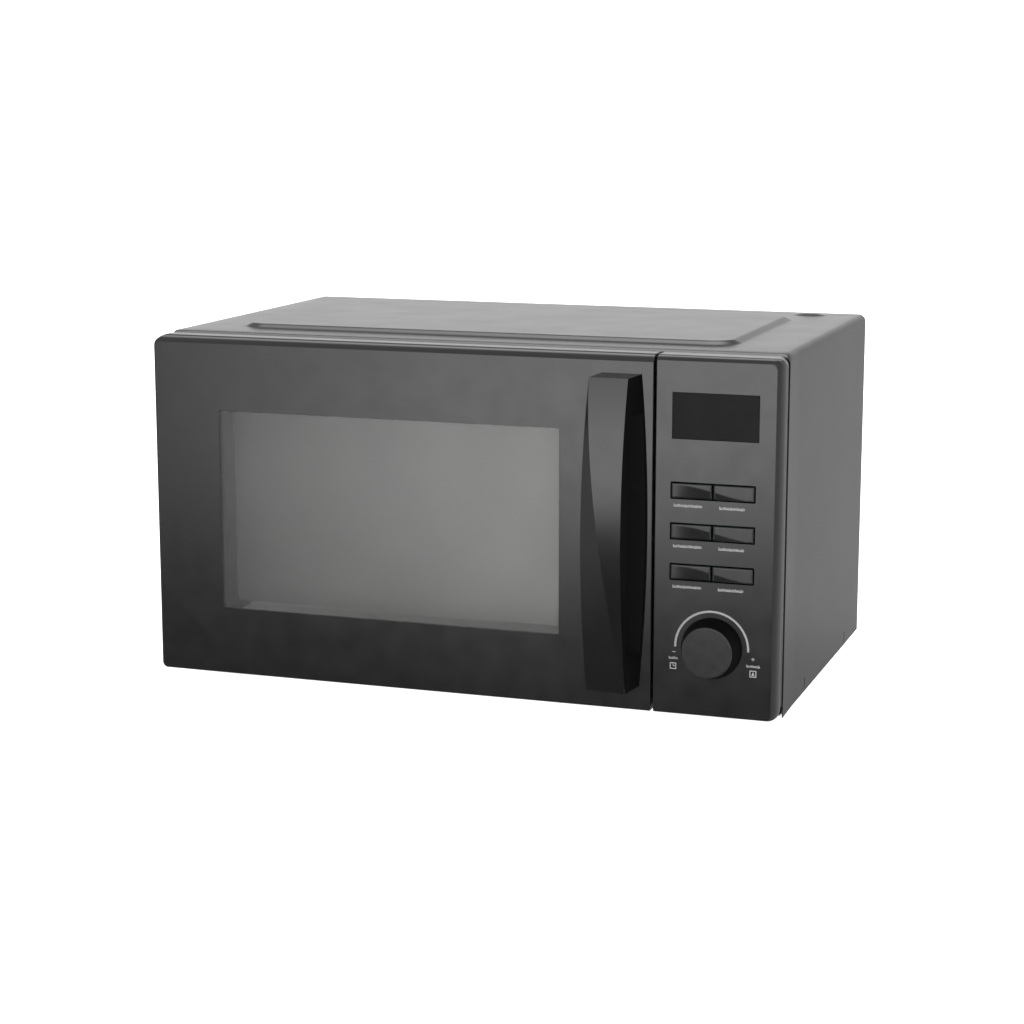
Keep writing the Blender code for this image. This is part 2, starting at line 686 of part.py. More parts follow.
def make_fan():
    x, z = FAN
    shroud = node("fan_shroud", rods(("Y", (x, 128, z), 22.5, 46.5), segments=40), "white_plastic")
    combine(shroud, boxes(((x - 48, x + 48), (150, 153.6), (z - 48, z + 48))), "UNION")
    combine(shroud, rods(("Y", (x, 120, z), 40, 44.5), segments=40), "DIFFERENCE")
    spider = (((x - 46, x + 46), (128, 131), (z - 3, z + 3)),)
    combine(shroud, boxes(*spider), "UNION")
    combine(shroud, rods(("Y", (x, 120, z), 20, 6.0)), "DIFFERENCE")
    hub = rods(("Y", (x, 134.0, z), 14.0, 10.0))
    blade = node("fan_blade", hub, "dark_plastic", True)
    vanes = bmesh.new()
    for i in range(5):
        turn = Matrix.Rotation(2 * math.pi * i / 5, 4, "Y")
        pitch = Matrix.Rotation(math.radians(35), 4, "Z")
        made = put_box(vanes, (-8, 8), (-0.8, 0.8), (7, 41))
        place = Matrix.Translation(Vector((x, 141.0, z)) * MM) @ turn @ pitch
        bmesh.ops.transform(vanes, matrix=place, verts=made)
    combine(blade, vanes, "UNION")
    combine(blade, rods(("Y", (x, 130.0, z), 14.0, 2.3)), "DIFFERENCE")
    motor = node("fan_motor", boxes(((x - 20, x + 20), (104, 126), (z - 24, z + 24))), "iron_core")
    combine(motor, rods(("Y", (x, 98, z), 30, 14.0)), "UNION")
    combine(motor, rods(("Y", (x, 125, z), 17.0, 2.1)), "UNION")


def make_lamp():
    lamp = node("oven_lamp", rods(("Z", (118, 98, 186), 12.0, 9.0)), "glass", True)
    combine(lamp, rods(("Z", (118, 98, 197), 14.0, 6.0, 9.0)), "UNION")
    combine(lamp, rods(("Z", (118, 98, 210.5), 9.0, 9.1, 3.0)), "UNION")


def make_noise_filter():
    board = node("noise_filter", boxes(((112, 172), (150.8, 152.4), (56, 112))), "circuit_board")
    blocks = (
        ((118, 138), (134, 151), (62, 82)),
        ((146, 166), (132, 151), (64, 84)),
        ((118, 160), (140, 151), (90, 106)),
    )
    combine(board, boxes(*blocks), "UNION")


# ---- turntable ----


def make_turntable_drive():
    x, y = TABLE
    motor = rods(("Z", (x, y, 13.0), 15.4, 24.5), segments=32)
    node("turntable_motor", motor, "galvanised", True)
    coupler = node("turntable_coupler", rods(("Z", (x, y, 28.7), 8.0, 3.6)), "white_plastic")
    combine(coupler, rods(("Z", (x, y, 31.5), 11.7, 10.0)), "UNION")
    arms = bmesh.new()
    for i in range(3):
        made = put_box(arms, (6, 24), (-3, 3), (36.0, 42.4))
        turn = Matrix.Rotation(2 * math.pi * i / 3, 4, "Z")
        place = Matrix.Translation(Vector((x, y, 0)) * MM) @ turn
        bmesh.ops.transform(arms, matrix=place, verts=made)
    combine(coupler, arms, "UNION")


def make_roller_ring():
    x, y = TABLE
    centre_z = CAVITY[4] + GAP + ROLLER_R
    disc = rods(("Z", (x, y, centre_z - 2.5), 5.0, 90.0), segments=48)
    ring = node("roller_ring", disc, "white_plastic")
    combine(ring, rods(("Z", (x, y, 20), 40, 84.0), segments=48), "DIFFERENCE")
    axles = bmesh.new()
    for i in range(3):
        made = put_rod(axles, "X", (87, 0, centre_z), 14.0, 2.0)
        turn = Matrix.Rotation(2 * math.pi * i / 3, 4, "Z")
        place = Matrix.Translation(Vector((x, y, 0)) * MM) @ turn
        bmesh.ops.transform(axles, matrix=place, verts=made)
        wheel = rods(("X", (92.5, 0, centre_z), 7.0, ROLLER_R))
        bmesh.ops.transform(wheel, matrix=place, verts=wheel.verts)
        roller = node(f"roller_{i + 1}", wheel, "white_plastic", True)
        bore = rods(("X", (90, 0, centre_z), 12.0, 2.1))
        bmesh.ops.transform(bore, matrix=place, verts=bore.verts)
        combine(roller, bore, "DIFFERENCE")
    combine(ring, axles, "UNION")


def make_turntable_plate():
    x, y = TABLE
    cone = rods(("Z", (x, y, TABLE_Z), 13.0, 106.0, TABLE_R), segments=64)
    plate = node("turntable_plate", cone, "glass", True)
    dish = rods(("Z", (x, y, TABLE_Z + 4.5), 10.0, 103.0, TABLE_R - 3.0), segments=64)
    combine(plate, dish, "DIFFERENCE")


clear_scene()
OVEN = make_collection("microwave_oven")
HELPERS = make_collection("cutters")
MATERIALS = {name: make_material(name) for name in PALETTE}
make_outer_case()
make_rear_panel()
make_case_screws()
make_cord_gland()
make_base_plate()
make_feet()
make_front_frame()
make_cavity()
make_waveguide()
make_waveguide_cover()
make_door_frame()
make_flush_pane("door_window", WINDOW, "smoked_window", 7.0)
make_door_mesh_panel()
make_door_inner_cover()
make_door_handle()
make_handle_screws()
make_latch()
make_latch_spring()
make_hinges()
make_control_fascia()
make_flush_pane("display_lens", DISPLAY, "display_black", 1.8)
make_display_module()
make_buttons()
make_knob()
make_encoder()
make_control_board()
make_latch_board()
make_microswitches()
make_magnetron()
make_transformer()
make_capacitor()
make_fan()
make_lamp()
make_noise_filter()
make_turntable_drive()
make_roller_ring()
make_turntable_plate()
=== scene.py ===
"""Looks of the countertop microwave oven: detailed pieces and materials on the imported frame."""

import json
import math

import bmesh
import bpy
from mathutils import Matrix, Vector


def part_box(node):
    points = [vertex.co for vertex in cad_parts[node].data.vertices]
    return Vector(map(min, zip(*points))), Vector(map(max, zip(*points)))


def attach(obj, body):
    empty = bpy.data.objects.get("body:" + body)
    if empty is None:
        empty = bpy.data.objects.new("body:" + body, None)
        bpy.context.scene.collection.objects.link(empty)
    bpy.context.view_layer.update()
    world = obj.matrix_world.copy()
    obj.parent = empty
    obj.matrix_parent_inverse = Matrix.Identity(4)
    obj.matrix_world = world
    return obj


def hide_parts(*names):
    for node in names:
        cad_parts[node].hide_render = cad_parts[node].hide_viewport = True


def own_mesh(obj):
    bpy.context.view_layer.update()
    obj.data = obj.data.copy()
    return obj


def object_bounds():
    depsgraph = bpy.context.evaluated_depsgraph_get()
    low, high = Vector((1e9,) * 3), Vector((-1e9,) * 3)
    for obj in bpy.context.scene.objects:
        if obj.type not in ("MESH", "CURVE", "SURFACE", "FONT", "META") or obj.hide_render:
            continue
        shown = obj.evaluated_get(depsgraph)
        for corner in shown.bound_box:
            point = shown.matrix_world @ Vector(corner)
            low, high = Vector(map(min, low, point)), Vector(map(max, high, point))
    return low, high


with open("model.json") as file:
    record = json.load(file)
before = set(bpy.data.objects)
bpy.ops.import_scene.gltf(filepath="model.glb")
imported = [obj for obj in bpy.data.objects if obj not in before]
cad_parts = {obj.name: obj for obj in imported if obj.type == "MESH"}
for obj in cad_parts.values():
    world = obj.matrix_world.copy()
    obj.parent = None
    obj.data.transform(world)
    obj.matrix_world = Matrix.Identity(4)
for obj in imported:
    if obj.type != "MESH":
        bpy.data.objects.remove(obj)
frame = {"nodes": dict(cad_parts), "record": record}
CAD_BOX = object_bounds()

MM = 0.001
NODES = frame["nodes"]

# Camera: where the eye stands, its turn and its lens
EYE = (543.3, -1593.4, 435.6)
EYE_TURN = (79.259, 0.0, 19.001)
LENS = 82.117

# All shape values are in millimetres. Front edges of the door and the control panel:
TOP_EDGE = 3.4
DOOR_EDGE = 5.0
SIDE_EDGE = 5.6
EDGE_LEAN = math.radians(20.0)
SIDE_LEAN = math.radians(8.5)
CORNER = 0.8
FRONT_WALL = 2.5
HINGE_ROUND = 6.0
HINGE_LEVELS = {"hinge_bracket_top": 245.0, "hinge_bracket_bottom": 19.0}
HOOK_LEVELS = (76.0, 194.0)
WINDOW_LIP = 7.0
COVER_OPENING = (-170, 67, 66, 195)
PANEL_HOLLOW = ((142, 219), (14.5, 249))

# The panel's outer side behind its round: where it starts to draw in, per millimetre, in one step
DRAW_START = 6.5
DRAW_SLOPE = 0.11
DRAW_STEP = 0.41

# Handle: its left, right and foot edges at the ends, how far the first two bow left and the foot
# right at mid-height, how its face curves and leans, and the finger pocket
HANDLE_EDGES = (101.5, 127.9, 129.8)
HANDLE_BOWS = (4.1, 3.8, 4.8)
FACE_BOW = 3.4
FACE_LEAN = 3.1
GRIP_X = (110.0, 150.0)
GRIP_Z = (52.0, 214.0)
GRIP_WALL = 8.5
GRIP_ROUND = 6.0

# Perforated screen: holes, the painted light that runs across it from left to right and from bottom
# to top, and the painted shade on the pan's left wall
HOLE_PITCH = 1.6
HOLE_RADIUS = 0.44
HOLE_COLOUR = (0.185, 0.185, 0.18)
SCREEN_PAINTED_LIGHT_ACROSS = (0.55, 1.68)
SCREEN_PAINTED_LIGHT_UP = (1.17, 0.99)
# Share of the pan's colour that stays where its left wall takes painted shade
PAN_PAINTED_SHADE = 0.20

# Sheet case: its bends, the step at its front edge, the raised field and the small boss
CASE_ROUND = 5.5
LEFT_ROUND = 2.6
SKIN = 0.8
REAR_LIP = 10.0
SLOT_PLACES = (-38.0, 104.0)
LOUVRE_COUNT = 9
FLAT_RISE = 0.95
JOGGLE = 1.7
JOGGLE_DEPTH = 4.2
FLARE = 0.7
FLARE_DEPTH = 40.0
CROWN = (-189.0, 179.0, -77.0, 116.0)
CROWN_SLOPE = 6.0
CROWN_CORNER = 20.0
BOSS = (184.0, 139.0, 15.0, 10.5, 1.3)

# Studio seen from the oven. Pairs are limits between which a light rises or falls, along one part
# of the unit direction that the oven's surface looks in (+X right, +Y rear, +Z up).
SOFTBOX_FRONT = (-0.80, -0.55)
SOFTBOX_LEFT = (-0.58, -0.285)
SOFTBOX_RIGHT = (0.05, 0.30)
SOFTBOX_BOTTOM = (-0.232, -0.176)
SOFTBOX_RIDGE = -0.29
SOFTBOX_LEANS = (0.15, -0.12)
SOFTBOX_TOP = (0.30, 0.55)
SOFTBOX_LIGHT = 4.0
SOFTBOX_FADE = (-0.12, -0.02)
SOFTBOX_FADED = 0.6
BACKDROP_NEAR = (-0.10, 0.35)
BACKDROP_TOP = (0.21, 0.34)
BACKDROP_UPPER = 0.42
BACKDROP_LIGHT = 0.94
WALL_RIGHT = (-0.05, 0.25)
WALL_DIM = 0.5
TABLE_LIGHT = 0.50
TABLE_EDGE = (-0.246, -0.230)
TABLE_SHADE = 0.29
HORIZON = (-0.06, -0.03)
HORIZON_LIGHT = 1.08
HORIZON_RIGHT = (-0.08, 0.04)
HORIZON_TOP = (0.06, 0.16)
OVERHEAD = (0.61, 0.92)
OVERHEAD_LIGHT = 4.2
OVERHEAD_NEAR = (-0.10, 0.40)
OVERHEAD_DIM = 0.17
ROOM_LIGHT = 0.85
ROOM_REAR = (-0.05, 0.30)
SIDE_LIGHT = 1.6
SIDE_START = (0.42, 0.62)
SIDE_FADE = (-0.75, 0.10)
SIDE_FADED = 0.6
LEFT_END = (-0.90, -0.78)
LEFT_END_LIGHT = 0.2
LOW_FRONT = (-0.70, -0.45)
LOW_FRONT_TOP = (-0.22, -0.17)
LOW_FRONT_LEFT = (-0.62, -0.52)
LOW_LEFT_LIGHT = 0.95
LOW_FRONT_RIGHT = (0.0, 0.20)
LOW_FRONT_LIGHT = 0.04

TURN = {
    "Y": Matrix.Rotation(-math.pi / 2, 4, "X"),
    "Z": Matrix.Identity(4),
}


# ---- places read from the frame ----


def span(node):
    """A CAD node's extent in millimetres: ((x0, x1), (y0, y1), (z0, z1))."""
    low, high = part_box(node)
    return tuple((low[i] / MM, high[i] / MM) for i in range(3))


def middle(node):
    return tuple(sum(pair) / 2 for pair in span(node))


DOOR = span("door_frame")
PANEL = span("control_fascia")
FRONT = DOOR[1][0]
TOP = DOOR[2][1]


# ---- mesh helpers ----


def smoothstep(low, high, value):
    share = min(1.0, max(0.0, (value - low) / (high - low)))
    return share * share * (3 - 2 * share)


def face_out(bm):
    bmesh.ops.recalc_face_normals(bm, faces=bm.faces)
    if bm.calc_volume(signed=True) < 0:
        bmesh.ops.reverse_faces(bm, faces=bm.faces)


def add_piece(name, bm, material, body, replaces=(), sharp=35.0):
    """Makes a shaded object of the mesh, puts it on its body and hides the CAD parts that it stands
    for.
    """
    face_out(bm)
    mesh = bpy.data.meshes.new(name)
    bm.to_mesh(mesh)
    bm.free()
    mesh.materials.append(material)
    mesh.shade_smooth()
    mesh.set_sharp_from_angle(angle=math.radians(sharp))
    obj = bpy.data.objects.new(name, mesh)
    bpy.context.scene.collection.objects.link(obj)
    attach(obj, body)
    if replaces:
        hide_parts(*replaces)
    return obj


def put_box(bm, x, y, z):
    low = Vector((x[0], y[0], z[0])) * MM
    high = Vector((x[1], y[1], z[1])) * MM
    place = Matrix.Translation((low + high) / 2) @ Matrix.Diagonal((*(high - low), 1.0))
    bmesh.ops.create_cube(bm, size=1.0, matrix=place)


def put_rod(bm, axis, start, length, radius, segments=32):
    centre = Vector(start) * MM + TURN[axis].to_3x3() @ Vector((0, 0, length * MM / 2))
    bmesh.ops.create_cone(
        bm,
        cap_ends=True,
        segments=segments,
        radius1=radius * MM,
        radius2=radius * MM,
        depth=length * MM,
        matrix=Matrix.Translation(centre) @ TURN[axis],
    )


def round_edges(bm, radius, wanted=lambda mid, way: True, segments=4):
    chosen = []
    for edge in bm.edges:
        ends = [vert.co for vert in edge.verts]
        if wanted((ends[0] + ends[1]) / 2 / MM, (ends[1] - ends[0]).normalized()):
            chosen.append(edge)
    bmesh.ops.bevel(
        bm, geom=chosen, offset=radius * MM, segments=segments, profile=0.5, affect="EDGES"
    )


def put_loft(bm, rings, loop=False):
    """Skins closed rings of equal length, with a cap at each end or as a closed loop."""
    rows = [[bm.verts.new(Vector(point) * MM) for point in ring] for ring in rings]
    count = len(rows[0])
    pairs = list(zip(rows, rows[1:]))
    if loop:
        pairs.append((rows[-1], rows[0]))
    for near, far in pairs:
        for i in range(count):
            j = (i + 1) % count
            bm.faces.new((near[i], near[j], far[j], far[i]))
    if not loop:
        bm.faces.new(rows[0])
        bm.faces.new(rows[-1])


def outline(left, right, bottom, top, radii, y, steps=8):
    """A rectangle across Y; its corner radii run from the upper right one, anticlockwise."""
    if isinstance(radii, (int, float)):
        radii = (radii,) * 4
    corners = (
        (right, top, -1, -1),
        (left, top, 1, -1),
        (left, bottom, 1, 1),
        (right, bottom, -1, 1),
    )
    ring = []
    for quarter, ((x, z, to_x, to_z), radius) in enumerate(zip(corners, radii)):
        for step in range(steps + 1):
            angle = math.radians(90 * (quarter + step / steps))
            out_x, out_z = to_x + math.cos(angle), to_z + math.sin(angle)
            ring.append((x + radius * out_x, y, z + radius * out_z))
    return ring


def put_lathe(bm, profile, axis, centre, segments):
    """Turns a closed profile of (radius, height) pairs about an axis through the centre."""
    rows = []
    for step in range(segments):
        turn = Matrix.Rotation(2 * math.pi * step / segments, 4, "Z")
        place = Matrix.Translation(Vector(centre) * MM) @ TURN[axis] @ turn
        rows.append([place @ (Vector((radius, 0, height)) * MM) for radius, height in profile])
    made = [[bm.verts.new(point) for point in row] for row in rows]
    count = len(profile)
    for i, row in enumerate(made):
        after = made[(i + 1) % segments]
        for j in range(count):
            k = (j + 1) % count
            bm.faces.new((row[j], row[k], after[k], after[j]))
    bmesh.ops.remove_doubles(bm, verts=bm.verts, dist=0.001 * MM)


def steady_normals(obj):
    """Lets the large flats rule the shading next to small rounds."""
    modifier = obj.modifiers.new("normals", "WEIGHTED_NORMAL")
    modifier.mode = "FACE_AREA"
    modifier.weight = 80
    modifier.keep_sharp = True


def boolean(obj, bm, operation="DIFFERENCE", sharp=35):
    """Applies one exact cut or join to the object's mesh, and keeps its shading."""
    face_out(bm)
    mesh = bpy.data.meshes.new("cutter")
    bm.to_mesh(mesh)
    bm.free()
    cutter = bpy.data.objects.new("cutter", mesh)
    bpy.context.scene.collection.objects.link(cutter)
    modifier = obj.modifiers.new("cut", "BOOLEAN")
    modifier.operation = operation
    modifier.solver = "EXACT"
    modifier.object = cutter
    graph = bpy.context.evaluated_depsgraph_get()
    result = bpy.data.meshes.new_from_object(obj.evaluated_get(graph))
    obj.modifiers.clear()
    old = obj.data
    obj.data = result
    bpy.data.meshes.remove(old)
    bpy.data.objects.remove(cutter)
    bpy.data.meshes.remove(mesh)
    result.shade_smooth()
    result.set_sharp_from_angle(angle=math.radians(sharp))


def edge_inset(inset, y, lean=0.0):
    """How far a round edge stands in from the outline, y behind the front.

    The round is an arc that starts with its surface already leaning back by the given angle.
    """
    radius = inset / (1 - math.sin(lean))
    rise = math.cos(lean) - y / radius
    if rise <= 0:
        return 0.0
    return radius * (1 - math.sqrt(1 - rise**2))


# ---- materials ----


class Paint:
    """A Principled material with its node tree at hand."""

    def __init__(self, name, colour, roughness, metallic=0.0):
        self.material = bpy.data.materials.new(name)
        self.material.use_nodes = True
        self.nodes = self.material.node_tree.nodes
        self.links = self.material.node_tree.links
        self.shader = self.nodes["Principled BSDF"]
        self.shader.inputs["Base Color"].default_value = (*colour, 1.0)
        self.shader.inputs["Roughness"].default_value = roughness
        self.shader.inputs["Metallic"].default_value = metallic
        self.material.diffuse_color = (*colour, 1.0)
        self.colour = colour
        self.roughness = roughness
        self.place = self.nodes.new("ShaderNodeTexCoord").outputs["Object"]

    def set(self, **values):
        for key, value in values.items():
            self.shader.inputs[key.replace("_", " ")].default_value = value
        return self

    def noise(self, scale, detail, stretch=None):
        """Noise in the object's own metres; scale is in cells per metre."""
        node = self.nodes.new("ShaderNodeTexNoise")
        node.inputs["Scale"].default_value = scale
        node.inputs["Detail"].default_value = detail
        source = self.place
        if stretch:
            mapping = self.nodes.new("ShaderNodeMapping")
            mapping.inputs["Scale"].default_value = stretch
            self.links.new(self.place, mapping.inputs["Vector"])
            source = mapping.outputs["Vector"]
        self.links.new(source, node.inputs["Vector"])
        return node.outputs["Fac"]

    def remap(self, value, low, high, to_low, to_high):
        node = self.nodes.new("ShaderNodeMapRange")
        node.clamp = True
        for index, number in enumerate((low, high, to_low, to_high), 1):
            node.inputs[index].default_value = number
        self.links.new(value, node.inputs[0])
        return node.outputs[0]

    def math(self, operation, first, second=None):
        node = self.nodes.new("ShaderNodeMath")
        node.operation = operation
        for socket, value in zip(node.inputs, (first, second)):
            if isinstance(value, (int, float)):
                socket.default_value = value
            elif value is not None:
                self.links.new(value, socket)
        return node.outputs[0]

    def mix(self, share, first, second):
        node = self.nodes.new("ShaderNodeMix")
        node.data_type = "RGBA"
        self.links.new(share, node.inputs["Factor"])
        for socket, value in zip((node.inputs[6], node.inputs[7]), (first, second)):
            if isinstance(value, tuple):
                socket.default_value = (*value, 1.0)
            else:
                self.links.new(value, socket)
        return node.outputs[2]

    def vary(self, spread, scale, rough_spread, rough_scale=None):
        """Mottles the colour and the roughness a little."""
        patches = self.remap(self.noise(scale, 5.0), 0.3, 0.7, 0.0, 1.0)
        darker = tuple(c * (1 - spread) for c in self.colour)
        lighter = tuple(min(1.0, c * (1 + spread)) for c in self.colour)
        self.links.new(self.mix(patches, darker, lighter), self.shader.inputs["Base Color"])
        grain = self.noise(rough_scale or scale * 2.3, 6.0)
        low = max(0.02, self.roughness - rough_spread)
        rough = self.remap(grain, 0.3, 0.7, low, self.roughness + rough_spread)
        self.links.new(rough, self.shader.inputs["Roughness"])
        return self

    def paint_shade_left(self, edge):
        """Paints shade into the colour left of that X in millimetres, on the pan's left wall that
        the lights reach little.
        """
        split = self.nodes.new("ShaderNodeSeparateXYZ")
        self.links.new(self.place, split.inputs[0])
        share = self.remap(split.outputs[0], edge * MM, (edge + 2.0) * MM, 0.0, 1.0)
        colour = self.shader.inputs["Base Color"]
        lit = colour.links[0].from_socket
        dark = tuple(PAN_PAINTED_SHADE * c for c in self.colour)
        self.links.new(self.mix(share, dark, lit), colour)
        return self

    def bump(self, scale, height_mm, stretch=None):
        """Raises a fine relief of about that many millimetres."""
        node = self.nodes.new("ShaderNodeBump")
        node.inputs["Distance"].default_value = height_mm * MM
        node.inputs["Strength"].default_value = 1.0
        self.links.new(self.noise(scale, 3.0, stretch), node.inputs["Height"])
        self.links.new(node.outputs["Normal"], self.shader.inputs["Normal"])
        return self


def make_materials():
    made = {}

    def add(name, paint):
        made[name] = paint.material
        return paint

    add("gloss_black", Paint("gloss_black", (0.008, 0.008, 0.0083), 0.155)).vary(
        0.12, 18, 0.02, 60
    ).bump(1400, 0.004)
    add("handle_black", Paint("handle_black", (0.008, 0.008, 0.0083), 0.125)).vary(
        0.12, 22, 0.015, 70
    ).bump(900, 0.003).set(Specular_IOR_Level=0.45)
    add("key_black", Paint("key_black", (0.012, 0.012, 0.0125), 0.22)).vary(
        0.10, 60, 0.03, 160
    ).bump(2500, 0.002)
    add("case_paint", Paint("case_paint", (0.014, 0.014, 0.0142), 0.22)).vary(
        0.08, 9, 0.012, 30
    ).bump(2200, 0.004)
    # Painted shade: a near-black with little gloss for the handle's pocket and right side and the
    # dial's side
    add("painted_shade_black", Paint("painted_shade_black", (0.003, 0.003, 0.003), 0.5)).vary(
        0.1, 40, 0.03
    ).set(Specular_IOR_Level=0.05)
    display = add("display_black", Paint("display_black", (0.012, 0.012, 0.012), 0.5))
    display.vary(0.1, 40, 0.03).set(Specular_IOR_Level=0.06)
    add("dial_black", Paint("dial_black", (0.009, 0.009, 0.0093), 0.20)).vary(
        0.12, 60, 0.03, 160
    ).bump(2500, 0.002)
    add("cavity_enamel", Paint("cavity_enamel", (0.55, 0.55, 0.54), 0.42)).vary(
        0.05, 25, 0.05
    ).bump(1200, 0.02)
    add("mesh_paint", Paint("mesh_paint", (0.52, 0.52, 0.50), 0.5)).vary(
        0.06, 30, 0.05
    ).bump(1500, 0.01)
    add("galvanised", Paint("galvanised", (0.50, 0.51, 0.52), 0.40, 0.9)).vary(
        0.08, 60, 0.08, 90
    ).bump(300, 0.01)
    add("dark_plastic", Paint("dark_plastic", (0.020, 0.020, 0.021), 0.55)).vary(
        0.15, 60, 0.06
    ).bump(1800, 0.02)
    add("white_plastic", Paint("white_plastic", (0.72, 0.71, 0.68), 0.45)).vary(
        0.04, 50, 0.05
    ).bump(1200, 0.01)
    add("rubber", Paint("rubber", (0.018, 0.018, 0.018), 0.80)).vary(0.2, 120, 0.08).bump(
        1500, 0.03
    )
    add("screw_steel", Paint("screw_steel", (0.42, 0.42, 0.43), 0.30, 1.0)).vary(
        0.12, 250, 0.10
    ).bump(900, 0.01)
    add("circuit_board", Paint("circuit_board", (0.03, 0.14, 0.06), 0.45)).vary(
        0.25, 140, 0.08
    ).bump(700, 0.02)
    add("mica", Paint("mica", (0.46, 0.41, 0.33), 0.55)).vary(0.18, 90, 0.08).bump(500, 0.02)
    add("iron_core", Paint("iron_core", (0.12, 0.12, 0.125), 0.50, 0.7)).vary(
        0.2, 90, 0.08
    ).bump(60, 0.05, stretch=(0.02, 1.0, 30.0))
    add("copper", Paint("copper", (0.50, 0.20, 0.08), 0.32, 0.9)).vary(0.15, 90, 0.06).bump(
        60, 0.08, stretch=(18.0, 0.02, 0.02)
    )
    add("aluminium", Paint("aluminium", (0.68, 0.69, 0.70), 0.32, 0.9)).vary(
        0.08, 120, 0.08
    ).bump(500, 0.01)
    add("print_white", Paint("print_white", (0.33, 0.33, 0.325), 0.6)).vary(0.05, 300, 0.05)
    window = add("smoked_window", Paint("smoked_window", (0.10, 0.10, 0.10), 0.12))
    window.vary(0.10, 25, 0.03).set(Alpha=0.25, IOR=1.55)
    glass = add("glass", Paint("glass", (0.80, 0.88, 0.86), 0.06))
    glass.vary(0.03, 30, 0.02).set(Alpha=0.35)
    made["perforated"] = perforated_paint()
    # The pan's left wall takes painted shade
    pan = add("pan_paint", Paint("pan_paint", (0.30, 0.30, 0.29), 0.5))
    pan.vary(0.06, 30, 0.05).bump(1500, 0.01).paint_shade_left(PERFORATED[0])
    return made


def perforated_paint():
    """Light paint with a hexagonal field of small round holes, in the sheet's own plane, under
    painted light that grows to the right and a little towards the bottom.
    """
    paint = Paint("perforated", (0.212, 0.212, 0.206), 0.5)
    paint.vary(0.06, 30, 0.05)
    pitch, radius = HOLE_PITCH * MM, HOLE_RADIUS * MM
    split = paint.nodes.new("ShaderNodeSeparateXYZ")
    paint.links.new(paint.place, split.inputs[0])
    x, z = split.outputs[0], split.outputs[2]
    nearest = None
    row = pitch * math.sqrt(3)
    for shift in (0.0, 0.5):
        cell_x = paint.math("PINGPONG", paint.math("ADD", x, 1.0 + shift * pitch), pitch / 2)
        cell_z = paint.math("PINGPONG", paint.math("ADD", z, 1.0 + shift * row), row / 2)
        square = paint.math(
            "ADD", paint.math("POWER", cell_x, 2.0), paint.math("POWER", cell_z, 2.0)
        )
        distance = paint.math("SQRT", square)
        nearest = distance if nearest is None else paint.math("MINIMUM", nearest, distance)
    hole = paint.remap(nearest, radius, radius * 1.25, 1.0, 0.0)
    left, right, low, high = PERFORATED
    inside = None
    for axis, start, end in ((x, left, right), (z, low, high)):
        above = paint.math("GREATER_THAN", axis, start * MM)
        below = paint.math("LESS_THAN", axis, end * MM)
        within = paint.math("MULTIPLY", above, below)
        inside = within if inside is None else paint.math("MULTIPLY", inside, within)
    share = paint.math("MULTIPLY", hole, inside)
    base = paint.shader.inputs["Base Color"].links[0].from_socket
    field = paint.mix(share, base, HOLE_COLOUR)
    # Painted light: the colour is scaled up towards the right and a little towards the bottom
    across = paint.remap(x, left * MM, right * MM, *SCREEN_PAINTED_LIGHT_ACROSS)
    light = paint.math("MULTIPLY", across, paint.remap(z, low * MM, high * MM, *SCREEN_PAINTED_LIGHT_UP))
    scaled = paint.nodes.new("ShaderNodeVectorMath")
    scaled.operation = "SCALE"
    paint.links.new(field, scaled.inputs[0])
    paint.links.new(light, scaled.inputs["Scale"])
    paint.links.new(scaled.outputs[0], paint.shader.inputs["Base Color"])
    return paint.material


# ---- case ----


def crown_height(x, y):
    """Height of the raised field and the small boss over the flat of the top sheet."""
    left, right, front, rear = CROWN
    half_x, half_y = (right - left) / 2, (rear - front) / 2
    dx = abs(x - (left + right) / 2) - (half_x - CROWN_CORNER)
    dy = abs(y - (front + rear) / 2) - (half_y - CROWN_CORNER)
    outside = math.hypot(max(dx, 0.0), max(dy, 0.0)) + min(max(dx, dy), 0.0)
    inward = CROWN_CORNER - outside
    rise = CAD_BOX[1][2] / MM - TOP - FLAT_RISE
    ramp = min(1.0, max(0.0, inward / CROWN_SLOPE))
    height = rise * (0.75 * ramp + 0.25 * smoothstep(0.0, CROWN_SLOPE, inward))
    bx, by, rx, ry, lift = BOSS
    reach = math.hypot((x - bx) / rx, (y - by) / ry)
    return height + lift * (1 - smoothstep(0.25, 1.0, reach))


def stops(low, high, fine, step=12.0, fine_step=0.9):
    """Grid lines from low to high, closer together inside each fine span."""
    lines = [low]
    while lines[-1] < high - 1e-6:
        here = lines[-1] + 1e-6
        near = any(start <= here < end for start, end in fine)
        ahead = [start for start, _ in fine if start > here]
        limit = min([high, *ahead])
        lines.append(min(here + (fine_step if near else step), limit if not near else high))
    return lines


